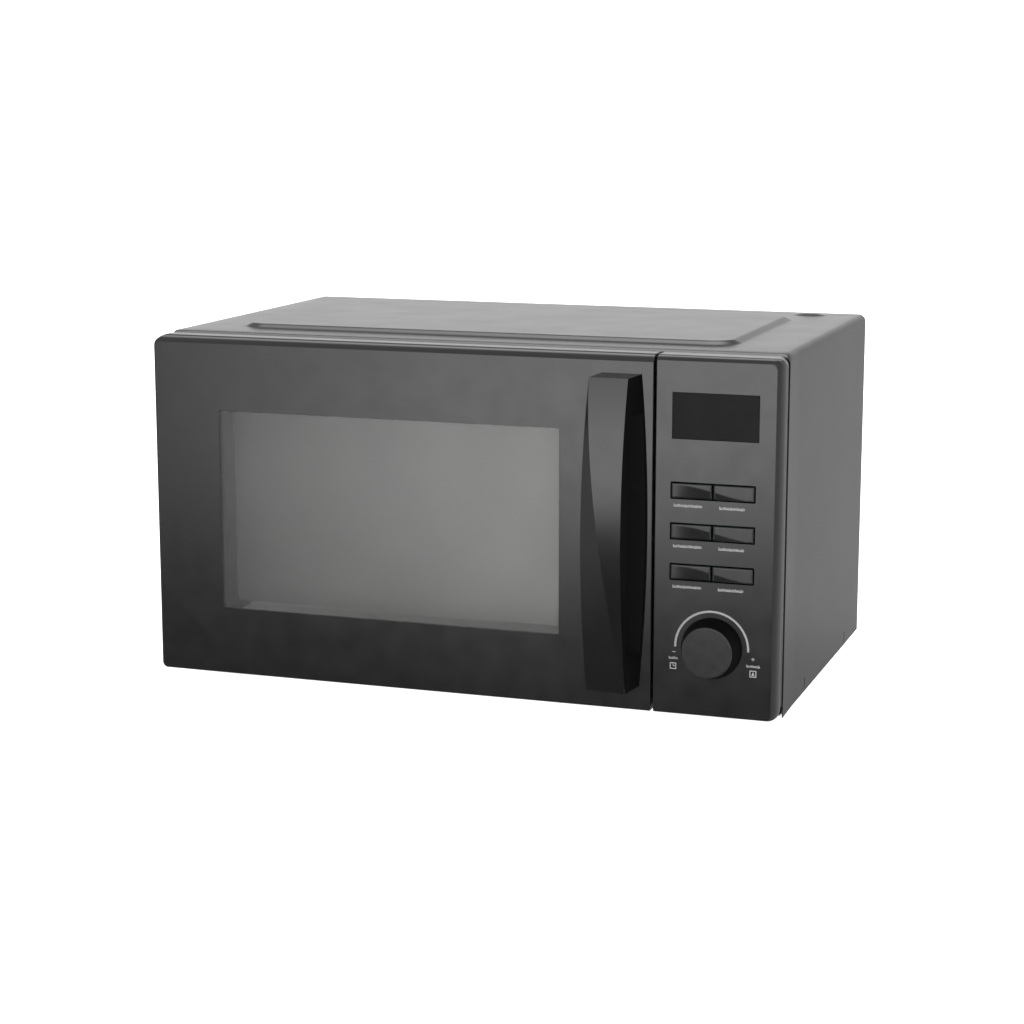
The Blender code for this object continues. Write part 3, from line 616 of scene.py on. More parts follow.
def build_case(materials):
    """The bent sheet, its slots and louvres, and the lips that the rear panel stands against."""
    (left, right), (front, rear), (bottom, _) = span("outer_case")
    cl, cr, cf, cb = CROWN
    bx, by, rx, ry, _ = BOSS
    pad = CROWN_SLOPE + 1.5
    turn = CROWN_CORNER + 2
    fine_x = [(cl - 1, cl + pad), (cl + pad, cl + turn), (cr - turn, cr + 1)]
    fine_x += [(bx - rx - 1, bx + rx + 1)]
    fine_y = [(cf - 1, cf + turn), (cb - turn, cb + 1), (by - ry - 1, by + ry + 1)]
    flat, level = CASE_ROUND, TOP + FLAT_RISE
    sides = []
    for x0, way, bend_radius in ((left, 1, LEFT_ROUND), (right, -1, flat)):
        start = level - bend_radius
        side = [(x0, bottom + (start - bottom) * i / 6, False) for i in range(6)]
        for i in range(9):
            angle = math.radians(90 * i / 8)
            along = x0 + way * bend_radius * (1 - math.cos(angle))
            side.append((along, start + bend_radius * math.sin(angle), False))
        sides.append(side)
    across = stops(left + flat, right - flat, sorted(fine_x))[1:-1]
    profile = sides[0] + [(x, level, True) for x in across] + sides[1][::-1]
    depth = [front + JOGGLE_DEPTH * i / 7 for i in range(7)]
    depth += stops(front + JOGGLE_DEPTH, rear, sorted(fine_y))
    bm = bmesh.new()
    rows = []
    for y in depth:
        row = []
        bend = 1 - smoothstep(0.0, JOGGLE_DEPTH, y - front)
        flare = 2 * FLARE * (1 - smoothstep(-FLARE_DEPTH, FLARE_DEPTH, y - front))
        for x, z, top in profile:
            lift = crown_height(x, y) if top else 0.0
            spread = 1 + flare / right if x > 0 else 1.0
            z -= JOGGLE * bend * smoothstep(level - 2 * CASE_ROUND, level, z)
            row.append(bm.verts.new(Vector((x * spread, y, z + lift)) * MM))
        rows.append(row)
    for near, far in zip(rows, rows[1:]):
        for i in range(len(profile) - 1):
            bm.faces.new((near[i], near[i + 1], far[i + 1], far[i]))
    case = add_piece(
        "case_shell", bm, materials["case_paint"], "oven_body", ["outer_case"], 60
    )
    solid = case.modifiers.new("sheet", "SOLIDIFY")
    solid.thickness = SKIN * MM
    solid.offset = -1.0
    slots = bmesh.new()
    for y in SLOT_PLACES:
        put_box(slots, (left - 5, right + 5), (y - 0.8, y + 0.8), (bottom + 2, bottom + 10))
    for i in range(LOUVRE_COUNT):
        put_box(slots, (left - 5, left + 8), (40 + 9 * i, 43 + 9 * i), (190, 222))
    boolean(case, slots)
    lip = bmesh.new()
    deep = (rear - SKIN, rear)
    inner_left, inner_right = left + 1 + REAR_LIP, right - 1 - REAR_LIP
    put_box(lip, (left + 1, inner_left), deep, (bottom, TOP - 3))
    put_box(lip, (inner_right, right - 1), deep, (bottom, TOP - 3))
    put_box(lip, (inner_left, inner_right), deep, (TOP - 1 - REAR_LIP, TOP - 1))
    add_piece("case_rear_lip", lip, materials["case_paint"], "oven_body")


def build_feet(materials):
    for i in range(1, 5):
        x, y, _ = middle(f"foot_{i}")
        profile = [
            (0.0, 0.0), (8.6, 0.0), (10.2, 0.4), (11.0, 1.4), (11.8, 5.0), (12.6, 8.4),
            (12.9, 9.6), (12.4, 10.0), (0.0, 10.0),
        ]
        bm = bmesh.new()
        put_lathe(bm, profile, "Z", (x, y, 0.0), 48)
        add_piece(f"rubber_foot_{i}", bm, materials["rubber"], "oven_body", [f"foot_{i}"])


def put_pan_head(bm, x, y, z, radius):
    """A screw's domed head facing +Y, without its cross recess, which the caller cuts."""
    profile = [
        (0.0, 0.0), (radius, 0.0), (radius, 0.5), (radius * 0.92, 1.2), (radius * 0.7, 1.9),
        (radius * 0.4, 2.25), (0.0, 2.35),
    ]
    put_lathe(bm, profile, "Y", (x, y, z), 40)


def build_case_screws(materials):
    """Pan heads with a cross recess."""
    for i in range(1, 5):
        (x0, x1), (_, y1), (z0, z1) = span(f"case_screw_{i}")
        x, z, radius = (x0 + x1) / 2, (z0 + z1) / 2, (x1 - x0) / 2
        bm = bmesh.new()
        put_pan_head(bm, x, y1 - 2.4, z, radius)
        screw = add_piece(
            f"case_screw_head_{i}", bm, materials["screw_steel"], "oven_body",
            [f"case_screw_{i}"],
        )
        for wide, tall in ((2.2, 0.4), (0.4, 2.2)):
            cross = bmesh.new()
            put_box(cross, (x - wide, x + wide), (y1 - 1.3, y1 + 2), (z - tall, z + tall))
            boolean(screw, cross)


# ---- door ----


def door_ring(y):
    """The door's outline at y behind its face: a wide round on top, a tight one elsewhere."""
    (left, right), _, (bottom, top) = DOOR
    tight = edge_inset(1.6, y)
    behind = max(0.0, y - (DOOR[1][1] - FRONT - HINGE_ROUND))
    hinge_side = HINGE_ROUND - math.sqrt(max(0.0, HINGE_ROUND**2 - behind**2))
    outer = 3.2 + min(4.9, y)
    return outline(
        left + max(tight, hinge_side),
        right - edge_inset(0.5, y),
        bottom + tight,
        top - edge_inset(DOOR_EDGE, y, EDGE_LEAN),
        (CORNER, outer, outer, CORNER),
        FRONT + y,
    )


def build_door_shell(materials):
    """The hollow front shell of the door, with its window hole and slots for the hinges."""
    depth = DOOR[1][1] - FRONT
    ys = (depth, depth - 0.6, depth - 1.4, depth - 2.6, depth - 4.2, depth - HINGE_ROUND,
          7.15, 6.0, 4.86, 4.0, 3.2, 2.5, 1.9, 1.4, 1.0, 0.65, 0.35, 0.12, 0.0)
    (wl, wr), _, (wb, wt) = window_opening()
    (x0, x1), _, (z0, z1) = DOOR
    rings = [
        outline(x0 + 2.7, x1 - 2.5, z0 + 2.5, z1 - 2.5, (0.8, 4, 4, 0.8), FRONT + depth - 4.0),
        outline(x0 + 8.0, x1 - 2.5, z0 + 2.5, z1 - 2.5, (0.8, 3, 3, 0.8), FRONT + depth),
    ]
    rings += [door_ring(y) for y in ys]
    rings += [
        outline(wl - 0.05, wr + 0.05, wb - 0.05, wt + 0.05, 0.65, FRONT),
        outline(wl, wr, wb, wt, 0.6, FRONT + 0.05),
        outline(wl, wr, wb, wt, 0.6, FRONT + FRONT_WALL),
        outline(x0 + 2.7, x1 - 2.5, z0 + 2.5, z1 - 2.5, (0.8, 4, 4, 0.8), FRONT + FRONT_WALL),
    ]
    bm = bmesh.new()
    put_loft(bm, rings, loop=True)
    shell = add_piece(
        "door_shell", bm, materials["gloss_black"], "door", ["door_frame"], 19
    )
    cuts = bmesh.new()
    for name, z in HINGE_LEVELS.items():
        (x0, _), (y0, _), _ = span(name)
        put_box(cuts, (x0 - 6, x0 + 13), (y0 - 1.5, y0 + 20), (z - 1.6, z + 1.6))
    boolean(shell, cuts, sharp=19)
    holes = bmesh.new()
    for name in ("handle_screw_1", "handle_screw_2"):
        x, _, z = middle(name)
        put_rod(holes, "Y", (x, FRONT - 5, z), 12, 2.0)
    boolean(shell, holes, sharp=19)
    steady_normals(shell)


def window_opening():
    """The door's window hole, 0.3 mm outside the pane's flush face."""
    (x0, x1), y, (z0, z1) = span("door_window")
    return (x0 + WINDOW_LIP, x1 - WINDOW_LIP), y, (z0 + WINDOW_LIP, z1 - WINDOW_LIP)


OPENING_X, _, OPENING_Z = window_opening()
PERFORATED = (OPENING_X[0] + 12.4, OPENING_X[1] - 12.5, OPENING_Z[0] + 3.5, OPENING_Z[1] - 10.5)


def build_choke_pan(materials):
    """The pressed steel pan behind the window: a recess whose floor is the perforated screen."""
    (x0, x1), (y0, y1), (z0, z1) = span("door_mesh_panel")
    (wl, wr), _, (wb, wt) = window_opening()
    left, right, low, high = wl + 1.0, wr - 0.5, wb + 0.5, wt - 0.5
    floor = y1 - 1.0
    back = 0.8
    rings = [
        outline(x0, x1, z0, z1, 4, y1),
        outline(x0, x1, z0, z1, 4, y0 + 1.2),
        outline(x0 + 0.4, x1 - 0.4, z0 + 0.4, z1 - 0.4, 4, y0 + 0.4),
        outline(x0 + 1.2, x1 - 1.2, z0 + 1.2, z1 - 1.2, 4, y0),
        outline(left - 1.2, right + 1.2, low - 1.2, high + 1.2, 6.2, y0),
        outline(left - 0.4, right + 0.4, low - 0.4, high + 0.4, 5.4, y0 + 0.35),
        outline(left, right, low, high, 5.0, y0 + 1.2),
        outline(left + 1.2, right - 1.2, low + 0.5, high - 0.5, 4.5, floor - 1.0),
        outline(left + 1.5, right - 1.5, low + 0.8, high - 0.8, 4.2, floor - 0.3),
        outline(left + 2.3, right - 2.3, low + 1.6, high - 1.6, 3.6, floor),
    ]
    under = [
        outline(left + 2.3, right - 2.3, low + 1.6, high - 1.6, 3.6, y1),
        outline(left - back, right + back, low - back, high + back, 4.4, y1),
        outline(left - back, right + back, low - back, high + back, 5.0, y0 + back),
        outline(x0 + back, x1 - back, z0 + back, z1 - back, 4, y0 + back),
        outline(x0 + back, x1 - back, z0 + back, z1 - back, 4, y1),
    ]
    bm = bmesh.new()
    put_loft(bm, rings + under, loop=True)
    add_piece(
        "choke_pan", bm, materials["pan_paint"], "door", ["door_mesh_panel"], 50
    )
    sheet = bmesh.new()
    put_box(sheet, (left + 1.9, right - 1.9), (floor + 0.15, y1 - 0.15), (low + 1.2, high - 1.2))
    add_piece("screen_sheet", sheet, materials["perforated"], "door")


def build_inner_cover(materials):
    """The cover frame behind the pan, with slots for the latch hooks and the hinges."""
    (x0, x1), (y0, y1), (z0, z1) = span("door_inner_cover")
    left, right, low, high = COVER_OPENING
    rings = [
        outline(x0, x1, z0, z1, 3.0, y0),
        outline(x0, x1, z0, z1, 3.0, y1 - 0.4),
        outline(x0 + 0.4, x1 - 0.4, z0 + 0.4, z1 - 0.4, 3.0, y1),
        outline(left - 0.8, right + 0.8, low - 0.8, high + 0.8, 5.8, y1),
        outline(left, right, low, high, 5.0, y1 - 0.8),
        outline(left, right, low, high, 5.0, y0),
    ]
    bm = bmesh.new()
    put_loft(bm, rings, loop=True)
    cover = add_piece(
        "choke_cover", bm, materials["dark_plastic"], "door", ["door_inner_cover"]
    )
    cuts = bmesh.new()
    (cx0, cx1), _, _ = span("latch_claw")
    for z in HOOK_LEVELS:
        put_box(cuts, (cx0 - 1.5, cx1 + 1.5), (y0 - 5, y1 + 5), (z - 12, z + 10))
    for z in sorted(HINGE_LEVELS.values()):
        put_box(cuts, (x0 - 5, x0 + 5), (y0 - 5, y1 + 5), (z - 4, z + 4))
    boolean(cover, cuts)


def handle_section(z, low, high, front):
    """Five corners of the handle at one level; the crease crosses its front from top to bottom."""
    share = (z - low) / (high - low)
    bow = 1 - (2 * share - 1) ** 2
    fall = (1 - share) ** 1.2
    behind = 0.2 + 3.6 * fall**0.6
    (left, right, foot), (left_bow, right_bow, foot_bow) = HANDLE_EDGES, HANDLE_BOWS
    left = left - left_bow * bow - 0.29 * behind - 1.5 * (1 - share)
    right = right - right_bow * bow - 1.2 * (1 - share) ** 4
    face = front + FACE_BOW * (1 - bow) + FACE_LEAN * (1 - share)
    crease = left + (right - left) * (0.004 + 0.992 * fall)
    return [
        (left + 0.8, FRONT - 0.3, z),
        (left, face + behind, z),
        (crease, face, z),
        (right, face + 0.15, z),
        (foot + foot_bow * bow, FRONT - 0.3, z),
    ]


def build_handle(materials):
    """The bar and its finger pocket; the pocket's inner faces and the bar's right side take painted
    shade, a near-black with little gloss.
    """
    _, (front, _), (low, high) = span("door_handle")
    levels = [low + (high - low) * i / 64 for i in range(65)]
    bm = bmesh.new()
    put_loft(bm, [handle_section(z, low, high, front) for z in levels])
    handle = add_piece(
        "bar_handle", bm, materials["handle_black"], "door", ["door_handle"], 4
    )
    pocket = bmesh.new()
    put_box(pocket, GRIP_X, (front + GRIP_WALL, FRONT - 3.2), GRIP_Z)
    round_edges(pocket, GRIP_ROUND, lambda mid, way: mid.x < GRIP_X[0] + 1, 4)
    boolean(handle, pocket)
    holes = bmesh.new()
    for name in ("handle_screw_1", "handle_screw_2"):
        x, _, z = middle(name)
        put_rod(holes, "Y", (x, FRONT - 14, z), 20, 1.9)
    boolean(handle, holes)
    handle.data.set_sharp_from_angle(angle=math.radians(4))
    # Painted shade: the pocket's inner faces and the faces turned right get the near-black
    handle.data.materials.append(materials["painted_shade_black"])
    for face in handle.data.polygons:
        x, y, z = face.center / MM
        inside = GRIP_Z[0] - 2 < z < GRIP_Z[1] + 2
        deep = x > GRIP_X[0] - 1.5 and y > front + GRIP_WALL - 0.5 and inside
        if (deep and face.normal.x > -0.05) or face.normal.x > 0.75:
            face.material_index = 1
    soften = handle.modifiers.new("edges", "BEVEL")
    soften.width = 0.45 * MM
    soften.segments = 3
    soften.limit_method = "ANGLE"
    soften.angle_limit = math.radians(20)
    soften.harden_normals = True
    # Left out of mirror rays, so that the gloss door beside it shows the studio only
    handle.visible_glossy = False


def build_latch_spring(materials):
    """A coil over the latch, on the door's body."""
    x, y, _ = middle("latch_spring")
    _, _, (low, high) = span("latch_spring")
    wire, coil, turns, per_turn = 0.4, 2.4, 5, 24
    count = turns * per_turn
    up = Vector((0.0, 0.0, 1.0))
    rings = []
    for i in range(count + 1):
        angle = 2 * math.pi * i / per_turn
        level = low + wire + (high - low - 2 * wire) * i / count
        out = Vector((math.cos(angle), math.sin(angle), 0.0))
        centre = Vector((x, y, level)) + coil * out
        turn = [2 * math.pi * k / 8 for k in range(8)]
        rings.append([centre + wire * (math.cos(a) * out + math.sin(a) * up) for a in turn])
    bm = bmesh.new()
    put_loft(bm, rings)
    spring = add_piece(
        "coil_spring", bm, materials["screw_steel"], "door", ["latch_spring"], 60
    )
    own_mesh(spring)


# ---- control panel ----


def panel_ring(y):
    """The panel's outline at y behind its face; its outer side draws in behind the round."""
    (left, right), _, (bottom, top) = PANEL
    step = DRAW_STEP * smoothstep(DRAW_START, DRAW_START + 1.5, y)
    taper = DRAW_SLOPE * max(0.0, y - DRAW_START) + step
    return outline(
        left + edge_inset(0.5, y),
        right - edge_inset(SIDE_EDGE, y, SIDE_LEAN) - taper,
        bottom + edge_inset(1.6, y),
        top - edge_inset(TOP_EDGE, y, EDGE_LEAN),
        (4.5 + min(2.0, y / 4), CORNER, CORNER, 4.5 + min(3.5, y / 2)),
        FRONT + y,
    )


def key_rows():
    """The opening of each row of keys, top row first, from its two CAD keys."""
    rows = []
    for i in (1, 3, 5):
        (x0, _), _, (z0, z1) = span(f"button_{i}")
        (_, x1), _, _ = span(f"button_{i + 1}")
        rows.append(((x0 + 1.2, x1 - 1.2), (z0 + 1.2, z1 - 1.2)))
    return rows


def build_panel_shell(materials):
    """The hollow front shell of the panel, cut for the display, the keys and the knob's shaft."""
    depth = PANEL[1][1] - FRONT
    ys = (depth, 12.0, 8.2, 7.6, 7.0, 6.5, 5.5, 4.86, 4.0, 3.2, 2.5, 1.9, 1.4, 1.0,
          0.65, 0.35, 0.12, 0.0)
    bm = bmesh.new()
    put_loft(bm, [panel_ring(y) for y in ys])
    shell = add_piece(
        "panel_shell", bm, materials["gloss_black"], "oven_body", ["control_fascia"],
        19,
    )
    hollow = bmesh.new()
    put_box(hollow, PANEL_HOLLOW[0], (FRONT + FRONT_WALL, FRONT + 40), PANEL_HOLLOW[1])
    boolean(shell, hollow, sharp=19)
    cuts = bmesh.new()
    (dx0, dx1), _, (dz0, dz1) = span("display_lens")
    put_box(cuts, (dx0 + 1.8, dx1 - 1.8), (FRONT - 5, FRONT + 5), (dz0 + 1.8, dz1 - 1.8))
    for (x0, x1), (z0, z1) in key_rows():
        before = len(cuts.verts)
        put_box(cuts, (x0, x1), (FRONT - 5, FRONT + 5), (z0, z1))
        cuts.verts.ensure_lookup_table()
        fresh = set(cuts.verts[before:])
        edges = [
            e for e in cuts.edges
            if set(e.verts) <= fresh and abs((e.verts[0].co - e.verts[1].co).normalized().y) > 0.9
        ]
        bmesh.ops.bevel(
            cuts, geom=edges, offset=1.0 * MM, segments=4, profile=0.5, affect="EDGES"
        )
    kx, _, kz = middle("knob")
    put_rod(cuts, "Y", (kx, FRONT - 5, kz), 12, 4.9)
    boolean(shell, cuts, sharp=19)
    steady_normals(shell)


def key_depth(share, rise):
    """How far a key's face lies behind its crest: a curved crease parts a flat from a hollow.

    share runs from 0 to 1 across both keys of a row, rise from 0 at the bottom to 1.
    """
    crest = 0.92 - 0.10 * share - 0.82 * smoothstep(0.06, 1.0, share)
    fall = max(0.0, crest - rise)
    return 1.9 * fall * smoothstep(0.0, 0.42, share) * (1.0 - 0.35 * share)


def build_keys(materials):
    """Two sculpted caps per row, each on the body of its own key."""
    for row, ((left, right), (low, high)) in enumerate(key_rows()):
        split = (span(f"button_{2 * row + 1}")[0][1] + span(f"button_{2 * row + 2}")[0][0]) / 2
        for side in (0, 1):
            index = 2 * row + side + 1
            x0 = left + 0.75 if side == 0 else split + 0.85
            x1 = split - 0.85 if side == 0 else right - 1.25
            z0, z1 = low + 0.7, high - 1.35
            bm = bmesh.new()
            columns, levels = 44, 20
            grid = []
            for i in range(columns + 1):
                x = x0 + (x1 - x0) * i / columns
                line = []
                for j in range(levels + 1):
                    z = z0 + (z1 - z0) * j / levels
                    rim = min(x - x0, x1 - x, z - z0, z1 - z)
                    edge = 0.30 * (1 - smoothstep(0.0, 0.5, rim))
                    deep = key_depth((x - left) / (right - left), (z - z0) / (z1 - z0))
                    line.append(bm.verts.new(Vector((x, FRONT + 0.35 + deep + edge, z)) * MM))
                grid.append(line)
            for i in range(columns):
                for j in range(levels):
                    quad = (grid[i][j], grid[i + 1][j], grid[i + 1][j + 1], grid[i][j + 1])
                    bm.faces.new(quad)
            border = [e for e in bm.edges if e.is_boundary]
            made = bmesh.ops.extrude_edge_only(bm, edges=border)["geom"]
            back = [v for v in made if isinstance(v, bmesh.types.BMVert)]
            for vert in back:
                vert.co.y = (FRONT + 5.0) * MM
            bmesh.ops.holes_fill(bm, edges=[e for e in bm.edges if e.is_boundary])
            key = add_piece(
                f"key_cap_{index}", bm, materials["key_black"], f"key_{index}",
                [f"button_{index}"], 30,
            )
            stem = bmesh.new()
            _, (_, rear), _ = span(f"button_{index}")
            put_rod(stem, "Y", ((x0 + x1) / 2, FRONT + 4.5, (z0 + z1) / 2), rear - FRONT - 4.5, 2.0)
            boolean(key, stem, "UNION")


def build_dial(materials):
    """A drum that flares towards its foot; its side takes painted shade, a near-black with little
    gloss.
    """
    (x0, x1), (face, base), _ = span("knob")
    x, _, z = middle("knob")
    deep = base - face
    rim, foot = 17.1, (x1 - x0) / 2
    profile = [(0.0, 0.0), (8.0, 0.0), (16.3, 0.0), (16.5, 0.0), (16.85, 0.15), (17.05, 0.42),
               (17.1, 0.8)]
    for i in range(1, 11):
        share = i / 10
        flare = smoothstep(0.0, 1.0, share) * 0.55 + share * 0.45
        profile.append((rim + (foot - rim) * flare, 0.8 + (deep - 1.1) * share))
    profile += [(foot - 0.2, deep), (3.3, deep), (3.3, 5.2), (0.0, 5.2)]
    bm = bmesh.new()
    put_lathe(bm, profile, "Y", (x, face, z), 128)
    dial = add_piece(
        "dial", bm, materials["dial_black"], "time_knob", ["knob"], 32
    )
    # Painted shade on the dial's side
    dial.data.materials.append(materials["painted_shade_black"])
    for side in dial.data.polygons:
        if abs(side.normal.y) < 0.85 and side.center.y > (face + 0.7) * MM:
            side.material_index = 1


# ---- printed marks ----


def put_mark(bm, x, z, width, height):
    """A thin printed bar, its centre given."""
    put_box(
        bm,
        (x - width / 2, x + width / 2),
        (FRONT - 0.05, FRONT + 0.1),
        (z - height / 2, z + height / 2),
    )


def put_caption(bm, x, z, width, height=2.1):
    """A row of fine strokes of uneven heights, in place of a word."""
    stroke, gap = 0.42, 0.36
    cursor, index = x - width / 2, 0
    while cursor < x + width / 2 - stroke:
        tall = height * (1.0, 0.7, 0.7, 0.82, 0.7)[index % 5]
        foot = z - height / 2
        put_mark(bm, cursor + stroke / 2, foot + tall / 2, stroke, tall)
        if index % 3 != 2:
            bar_z = foot + tall * (0.15, 0.85, 0.5)[index // 3 % 3]
            put_mark(bm, cursor + stroke + gap / 2, bar_z, gap, stroke)
        cursor += stroke + gap
        index += 1


def put_arc(bm, x, z, radius, stroke, start, end, steps=72):
    rows = []
    for i in range(steps + 1):
        angle = math.radians(start + (end - start) * i / steps)
        ring = []
        for reach, y in ((-1, -0.05), (1, -0.05), (1, 0.1), (-1, 0.1)):
            r = radius + reach * stroke / 2
            ring.append((x + r * math.cos(angle), FRONT + y, z + r * math.sin(angle)))
        rows.append(ring)
    put_loft(bm, rows)


def put_frame(bm, x, z, size, stroke):
    """A small open square, as round a pictogram."""
    half = (size - stroke) / 2
    put_mark(bm, x, z + half, size, stroke)
    put_mark(bm, x, z - half, size, stroke)
    put_mark(bm, x - half, z, stroke, size - 2 * stroke)
    put_mark(bm, x + half, z, stroke, size - 2 * stroke)


def build_print(materials):
    """The arc over the knob, a caption under each key and the marks beside the knob."""
    bm = bmesh.new()
    kx, _, kz = middle("knob")
    put_arc(bm, kx, kz, 24.8, 1.4, -1.5, 181.5)
    for (left, right), (low, _) in key_rows():
        put_caption(bm, left + 12.1, low - 4.0, 19.5)
        put_caption(bm, right - 15.6, low - 4.3, 17.2)
    minus, plus = kx - 25.6, kx + 28.1
    put_mark(bm, minus, kz - 4.2, 2.2, 0.5)
    put_caption(bm, minus - 0.2, kz - 8.4, 6.6, 1.8)
    put_mark(bm, plus, kz - 5.3, 2.2, 0.6)
    put_mark(bm, plus, kz - 5.3, 0.6, 2.2)
    put_caption(bm, plus + 0.4, kz - 10.0, 9.4, 1.8)
    put_frame(bm, minus - 0.5, kz - 13.9, 4.4, 0.6)
    put_mark(bm, minus - 0.5, kz - 13.2, 0.5, 1.5)
    put_mark(bm, minus + 0.1, kz - 13.9, 1.5, 0.5)
    put_frame(bm, plus + 0.2, kz - 15.2, 4.6, 0.6)
    put_mark(bm, plus + 0.2, kz - 15.8, 1.7, 1.2)
    put_mark(bm, plus + 0.2, kz - 14.7, 0.8, 1.0)
    add_piece("panel_print", bm, materials["print_white"], "oven_body")


# ---- turntable ----


def build_turntable(materials):
    """A glass dish with a raised rim and a ring pressed in its floor."""
    (x0, x1), _, (z0, z1) = span("turntable_plate")
    x, y, _ = middle("turntable_plate")
    radius = (x1 - x0) / 2
    tall = z1 - z0
    profile = [
        (0.0, 0.0), (radius - 19, 0.0), (radius - 14, 0.6), (radius - 4.5, tall - 4.5),
        (radius - 1.6, tall - 2.4), (radius - 0.3, tall - 1.6), (radius, tall - 0.9),
        (radius - 0.6, tall - 0.1), (radius - 2.4, tall), (radius - 5.0, tall - 1.0),
        (radius - 8.5, tall - 4.2), (radius - 15.5, 5.2), (radius - 20, 4.5),
        (46.0, 4.5), (45.0, 4.1), (44.0, 4.5), (0.0, 4.5),
    ]
    bm = bmesh.new()
    put_lathe(bm, profile, "Z", (x, y, z0), 128)
    add_piece("glass_plate", bm, materials["glass"], "turntable", ["turntable_plate"], 50)


# ---- CAD nodes that stay in sight ----


def paint_cad(materials):
    """Gives every CAD node the material of its slot."""
    for row in frame["record"]["subparts"]:
        node = NODES[row["node"]]
        paint = materials.get(row["material_slot"])
        if paint is None:
            continue
        node.data.materials.clear()
        node.data.materials.append(paint)


# ---- camera, light, floor ----


def build_camera():
    data = bpy.data.cameras.new("camera")
    data.lens = LENS
    data.sensor_width = 36.0
    data.clip_start = 0.05
    data.clip_end = 50.0
    camera = bpy.data.objects.new("camera", data)
    camera.location = Vector(EYE) * MM
    camera.rotation_euler = [math.radians(angle) for angle in EYE_TURN]
    bpy.context.scene.collection.objects.link(camera)
    bpy.context.scene.camera = camera


def map_value(tree, value, low, high, to_low, to_high):
    """A smooth step from one value to another, in the world's node tree."""
    node = tree.nodes.new("ShaderNodeMapRange")
    node.interpolation_type = "SMOOTHSTEP"
    for index, number in enumerate((low, high, to_low, to_high), 1):
        node.inputs[index].default_value = number
    tree.links.new(value, node.inputs[0])
    return node.outputs[0]


def combine_values(tree, operation, first, second):
    node = tree.nodes.new("ShaderNodeMath")
    node.operation = operation
    for socket, value in zip(node.inputs, (first, second)):
        if isinstance(value, float):
            socket.default_value = value
        else:
            tree.links.new(value, socket)
    return node.outputs[0]


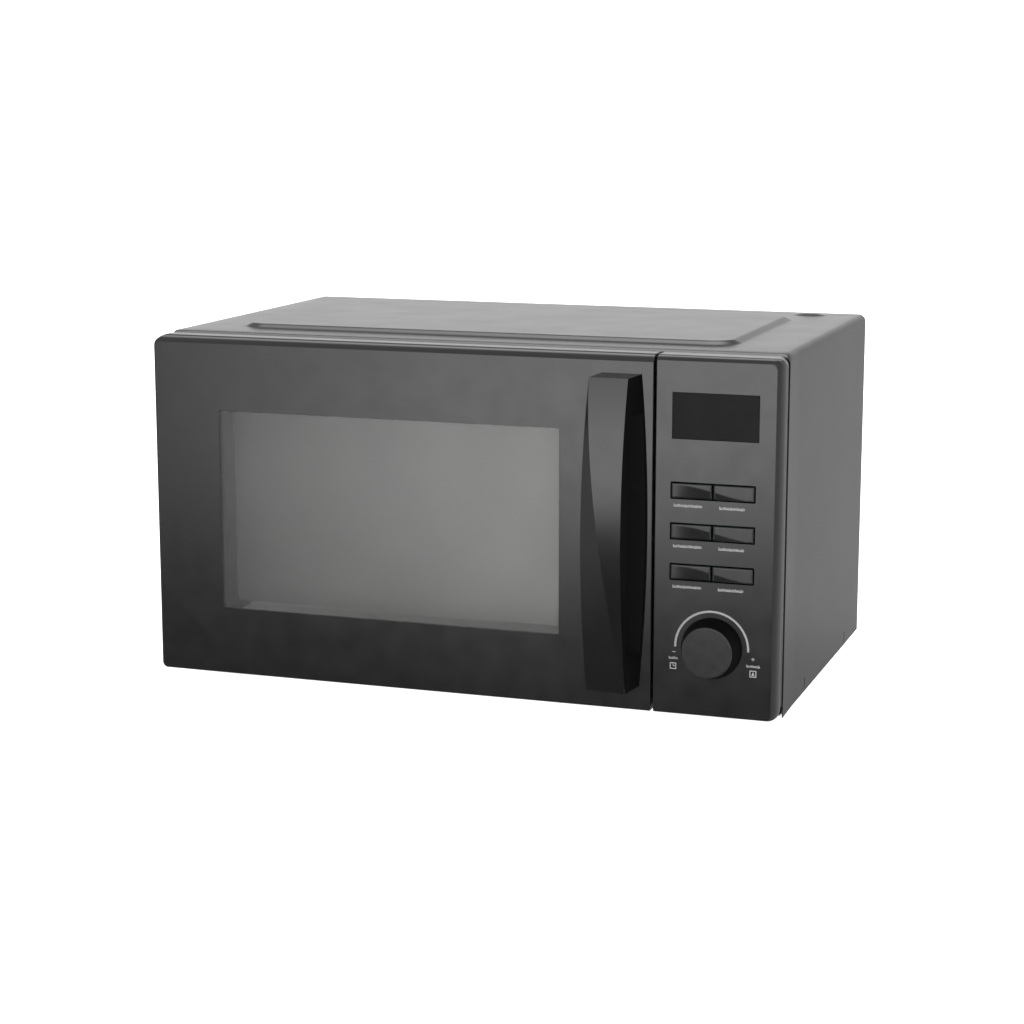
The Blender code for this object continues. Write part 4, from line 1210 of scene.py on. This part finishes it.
def build_world():
    """A studio told by direction alone, so that only its reflections and light are seen.

    A softbox stands in front, and lights hang overhead and at the right. Behind the oven are a
    backdrop, a bright horizon and a shaded table; the rest is a dim room, darkest low in front.
    The brightest of them rules in each direction.
    """
    world = bpy.data.worlds.new("studio")
    bpy.context.scene.world = world
    world.use_nodes = True
    tree = world.node_tree
    split = tree.nodes.new("ShaderNodeSeparateXYZ")
    place = tree.nodes.new("ShaderNodeTexCoord").outputs["Generated"]
    tree.links.new(place, split.inputs[0])
    x, y, z = split.outputs

    def rising(value, edge, low=0.0, high=1.0):
        return map_value(tree, value, *edge, low, high)

    def times(first, second):
        return combine_values(tree, "MULTIPLY", first, second)

    softbox = times(rising(y, SOFTBOX_FRONT, 1.0, 0.0), rising(x, SOFTBOX_LEFT))
    softbox = times(softbox, rising(x, SOFTBOX_RIGHT, 1.0, 0.0))
    along = combine_values(tree, "SUBTRACT", x, SOFTBOX_RIDGE)
    lean = combine_values(tree, "MINIMUM", *(times(along, slope) for slope in SOFTBOX_LEANS))
    slant = combine_values(tree, "ADD", z, lean)
    softbox = times(softbox, rising(slant, SOFTBOX_BOTTOM))
    softbox = times(softbox, rising(z, SOFTBOX_TOP, SOFTBOX_LIGHT, 0.0))
    softbox = times(softbox, rising(z, SOFTBOX_FADE, 1.0, SOFTBOX_FADED))
    backdrop = times(rising(y, BACKDROP_NEAR), rising(z, BACKDROP_TOP, 1.0, BACKDROP_UPPER))
    table = rising(z, TABLE_EDGE, TABLE_SHADE, TABLE_LIGHT)
    wall = times(rising(z, HORIZON, 0.0, BACKDROP_LIGHT), rising(x, WALL_RIGHT, 1.0, WALL_DIM))
    backdrop = times(backdrop, combine_values(tree, "MAXIMUM", table, wall))
    horizon = times(rising(z, HORIZON), rising(z, HORIZON_TOP, HORIZON_LIGHT, 0.0))
    horizon = times(horizon, rising(x, HORIZON_RIGHT, 1.0, 0.0))
    low_front = times(rising(y, LOW_FRONT, 1.0, 0.0), rising(z, LOW_FRONT_TOP, 1.0, 0.0))
    low_front = times(low_front, rising(x, LOW_FRONT_RIGHT, 1.0, 0.0))
    dimmed = rising(x, LOW_FRONT_LEFT, 1.0 - LOW_LEFT_LIGHT, 1.0 - LOW_FRONT_LIGHT)
    kept = combine_values(tree, "SUBTRACT", 1.0, times(low_front, dimmed))
    room = times(rising(x, LEFT_END, LEFT_END_LIGHT, ROOM_LIGHT), kept)
    room = times(room, rising(y, ROOM_REAR, 1.0, 0.0))
    beside = times(rising(x, SIDE_START, 0.0, SIDE_LIGHT), rising(y, SIDE_FADE, SIDE_FADED, 1.0))
    overhead = rising(z, OVERHEAD, 0.0, OVERHEAD_LIGHT)
    overhead = times(overhead, rising(y, OVERHEAD_NEAR, OVERHEAD_DIM, 1.0))
    total = softbox
    for light in (room, beside, overhead, backdrop, horizon):
        total = combine_values(tree, "MAXIMUM", total, light)
    background = tree.nodes["Background"]
    background.inputs["Color"].default_value = (1.0, 1.0, 1.0, 1.0)
    tree.links.new(total, background.inputs["Strength"])


def build_floor():
    bm = bmesh.new()
    bmesh.ops.create_grid(bm, x_segments=1, y_segments=1, size=60.0)
    mesh = bpy.data.meshes.new("floor")
    bm.to_mesh(mesh)
    bm.free()
    floor = bpy.data.objects.new("floor", mesh)
    paint = Paint("floor_paint", (0.86, 0.86, 0.86), 0.9)
    paint.shader.inputs["Emission Color"].default_value = (1.0, 1.0, 1.0, 1.0)
    paint.shader.inputs["Emission Strength"].default_value = 0.9
    floor.data.materials.append(paint.material)
    bpy.context.scene.collection.objects.link(floor)
    # Left out of mirror rays, which meet the world's own table instead
    floor.visible_glossy = False


MATERIALS = make_materials()
paint_cad(MATERIALS)
build_case(MATERIALS)
build_feet(MATERIALS)
build_case_screws(MATERIALS)
build_door_shell(MATERIALS)
build_choke_pan(MATERIALS)
build_inner_cover(MATERIALS)
build_handle(MATERIALS)
build_latch_spring(MATERIALS)
build_panel_shell(MATERIALS)
build_keys(MATERIALS)
build_dial(MATERIALS)
build_print(MATERIALS)
build_turntable(MATERIALS)
build_camera()
build_world()
build_floor()
bpy.context.scene.view_settings.view_transform = "Standard"

bpy.context.view_layer.update()
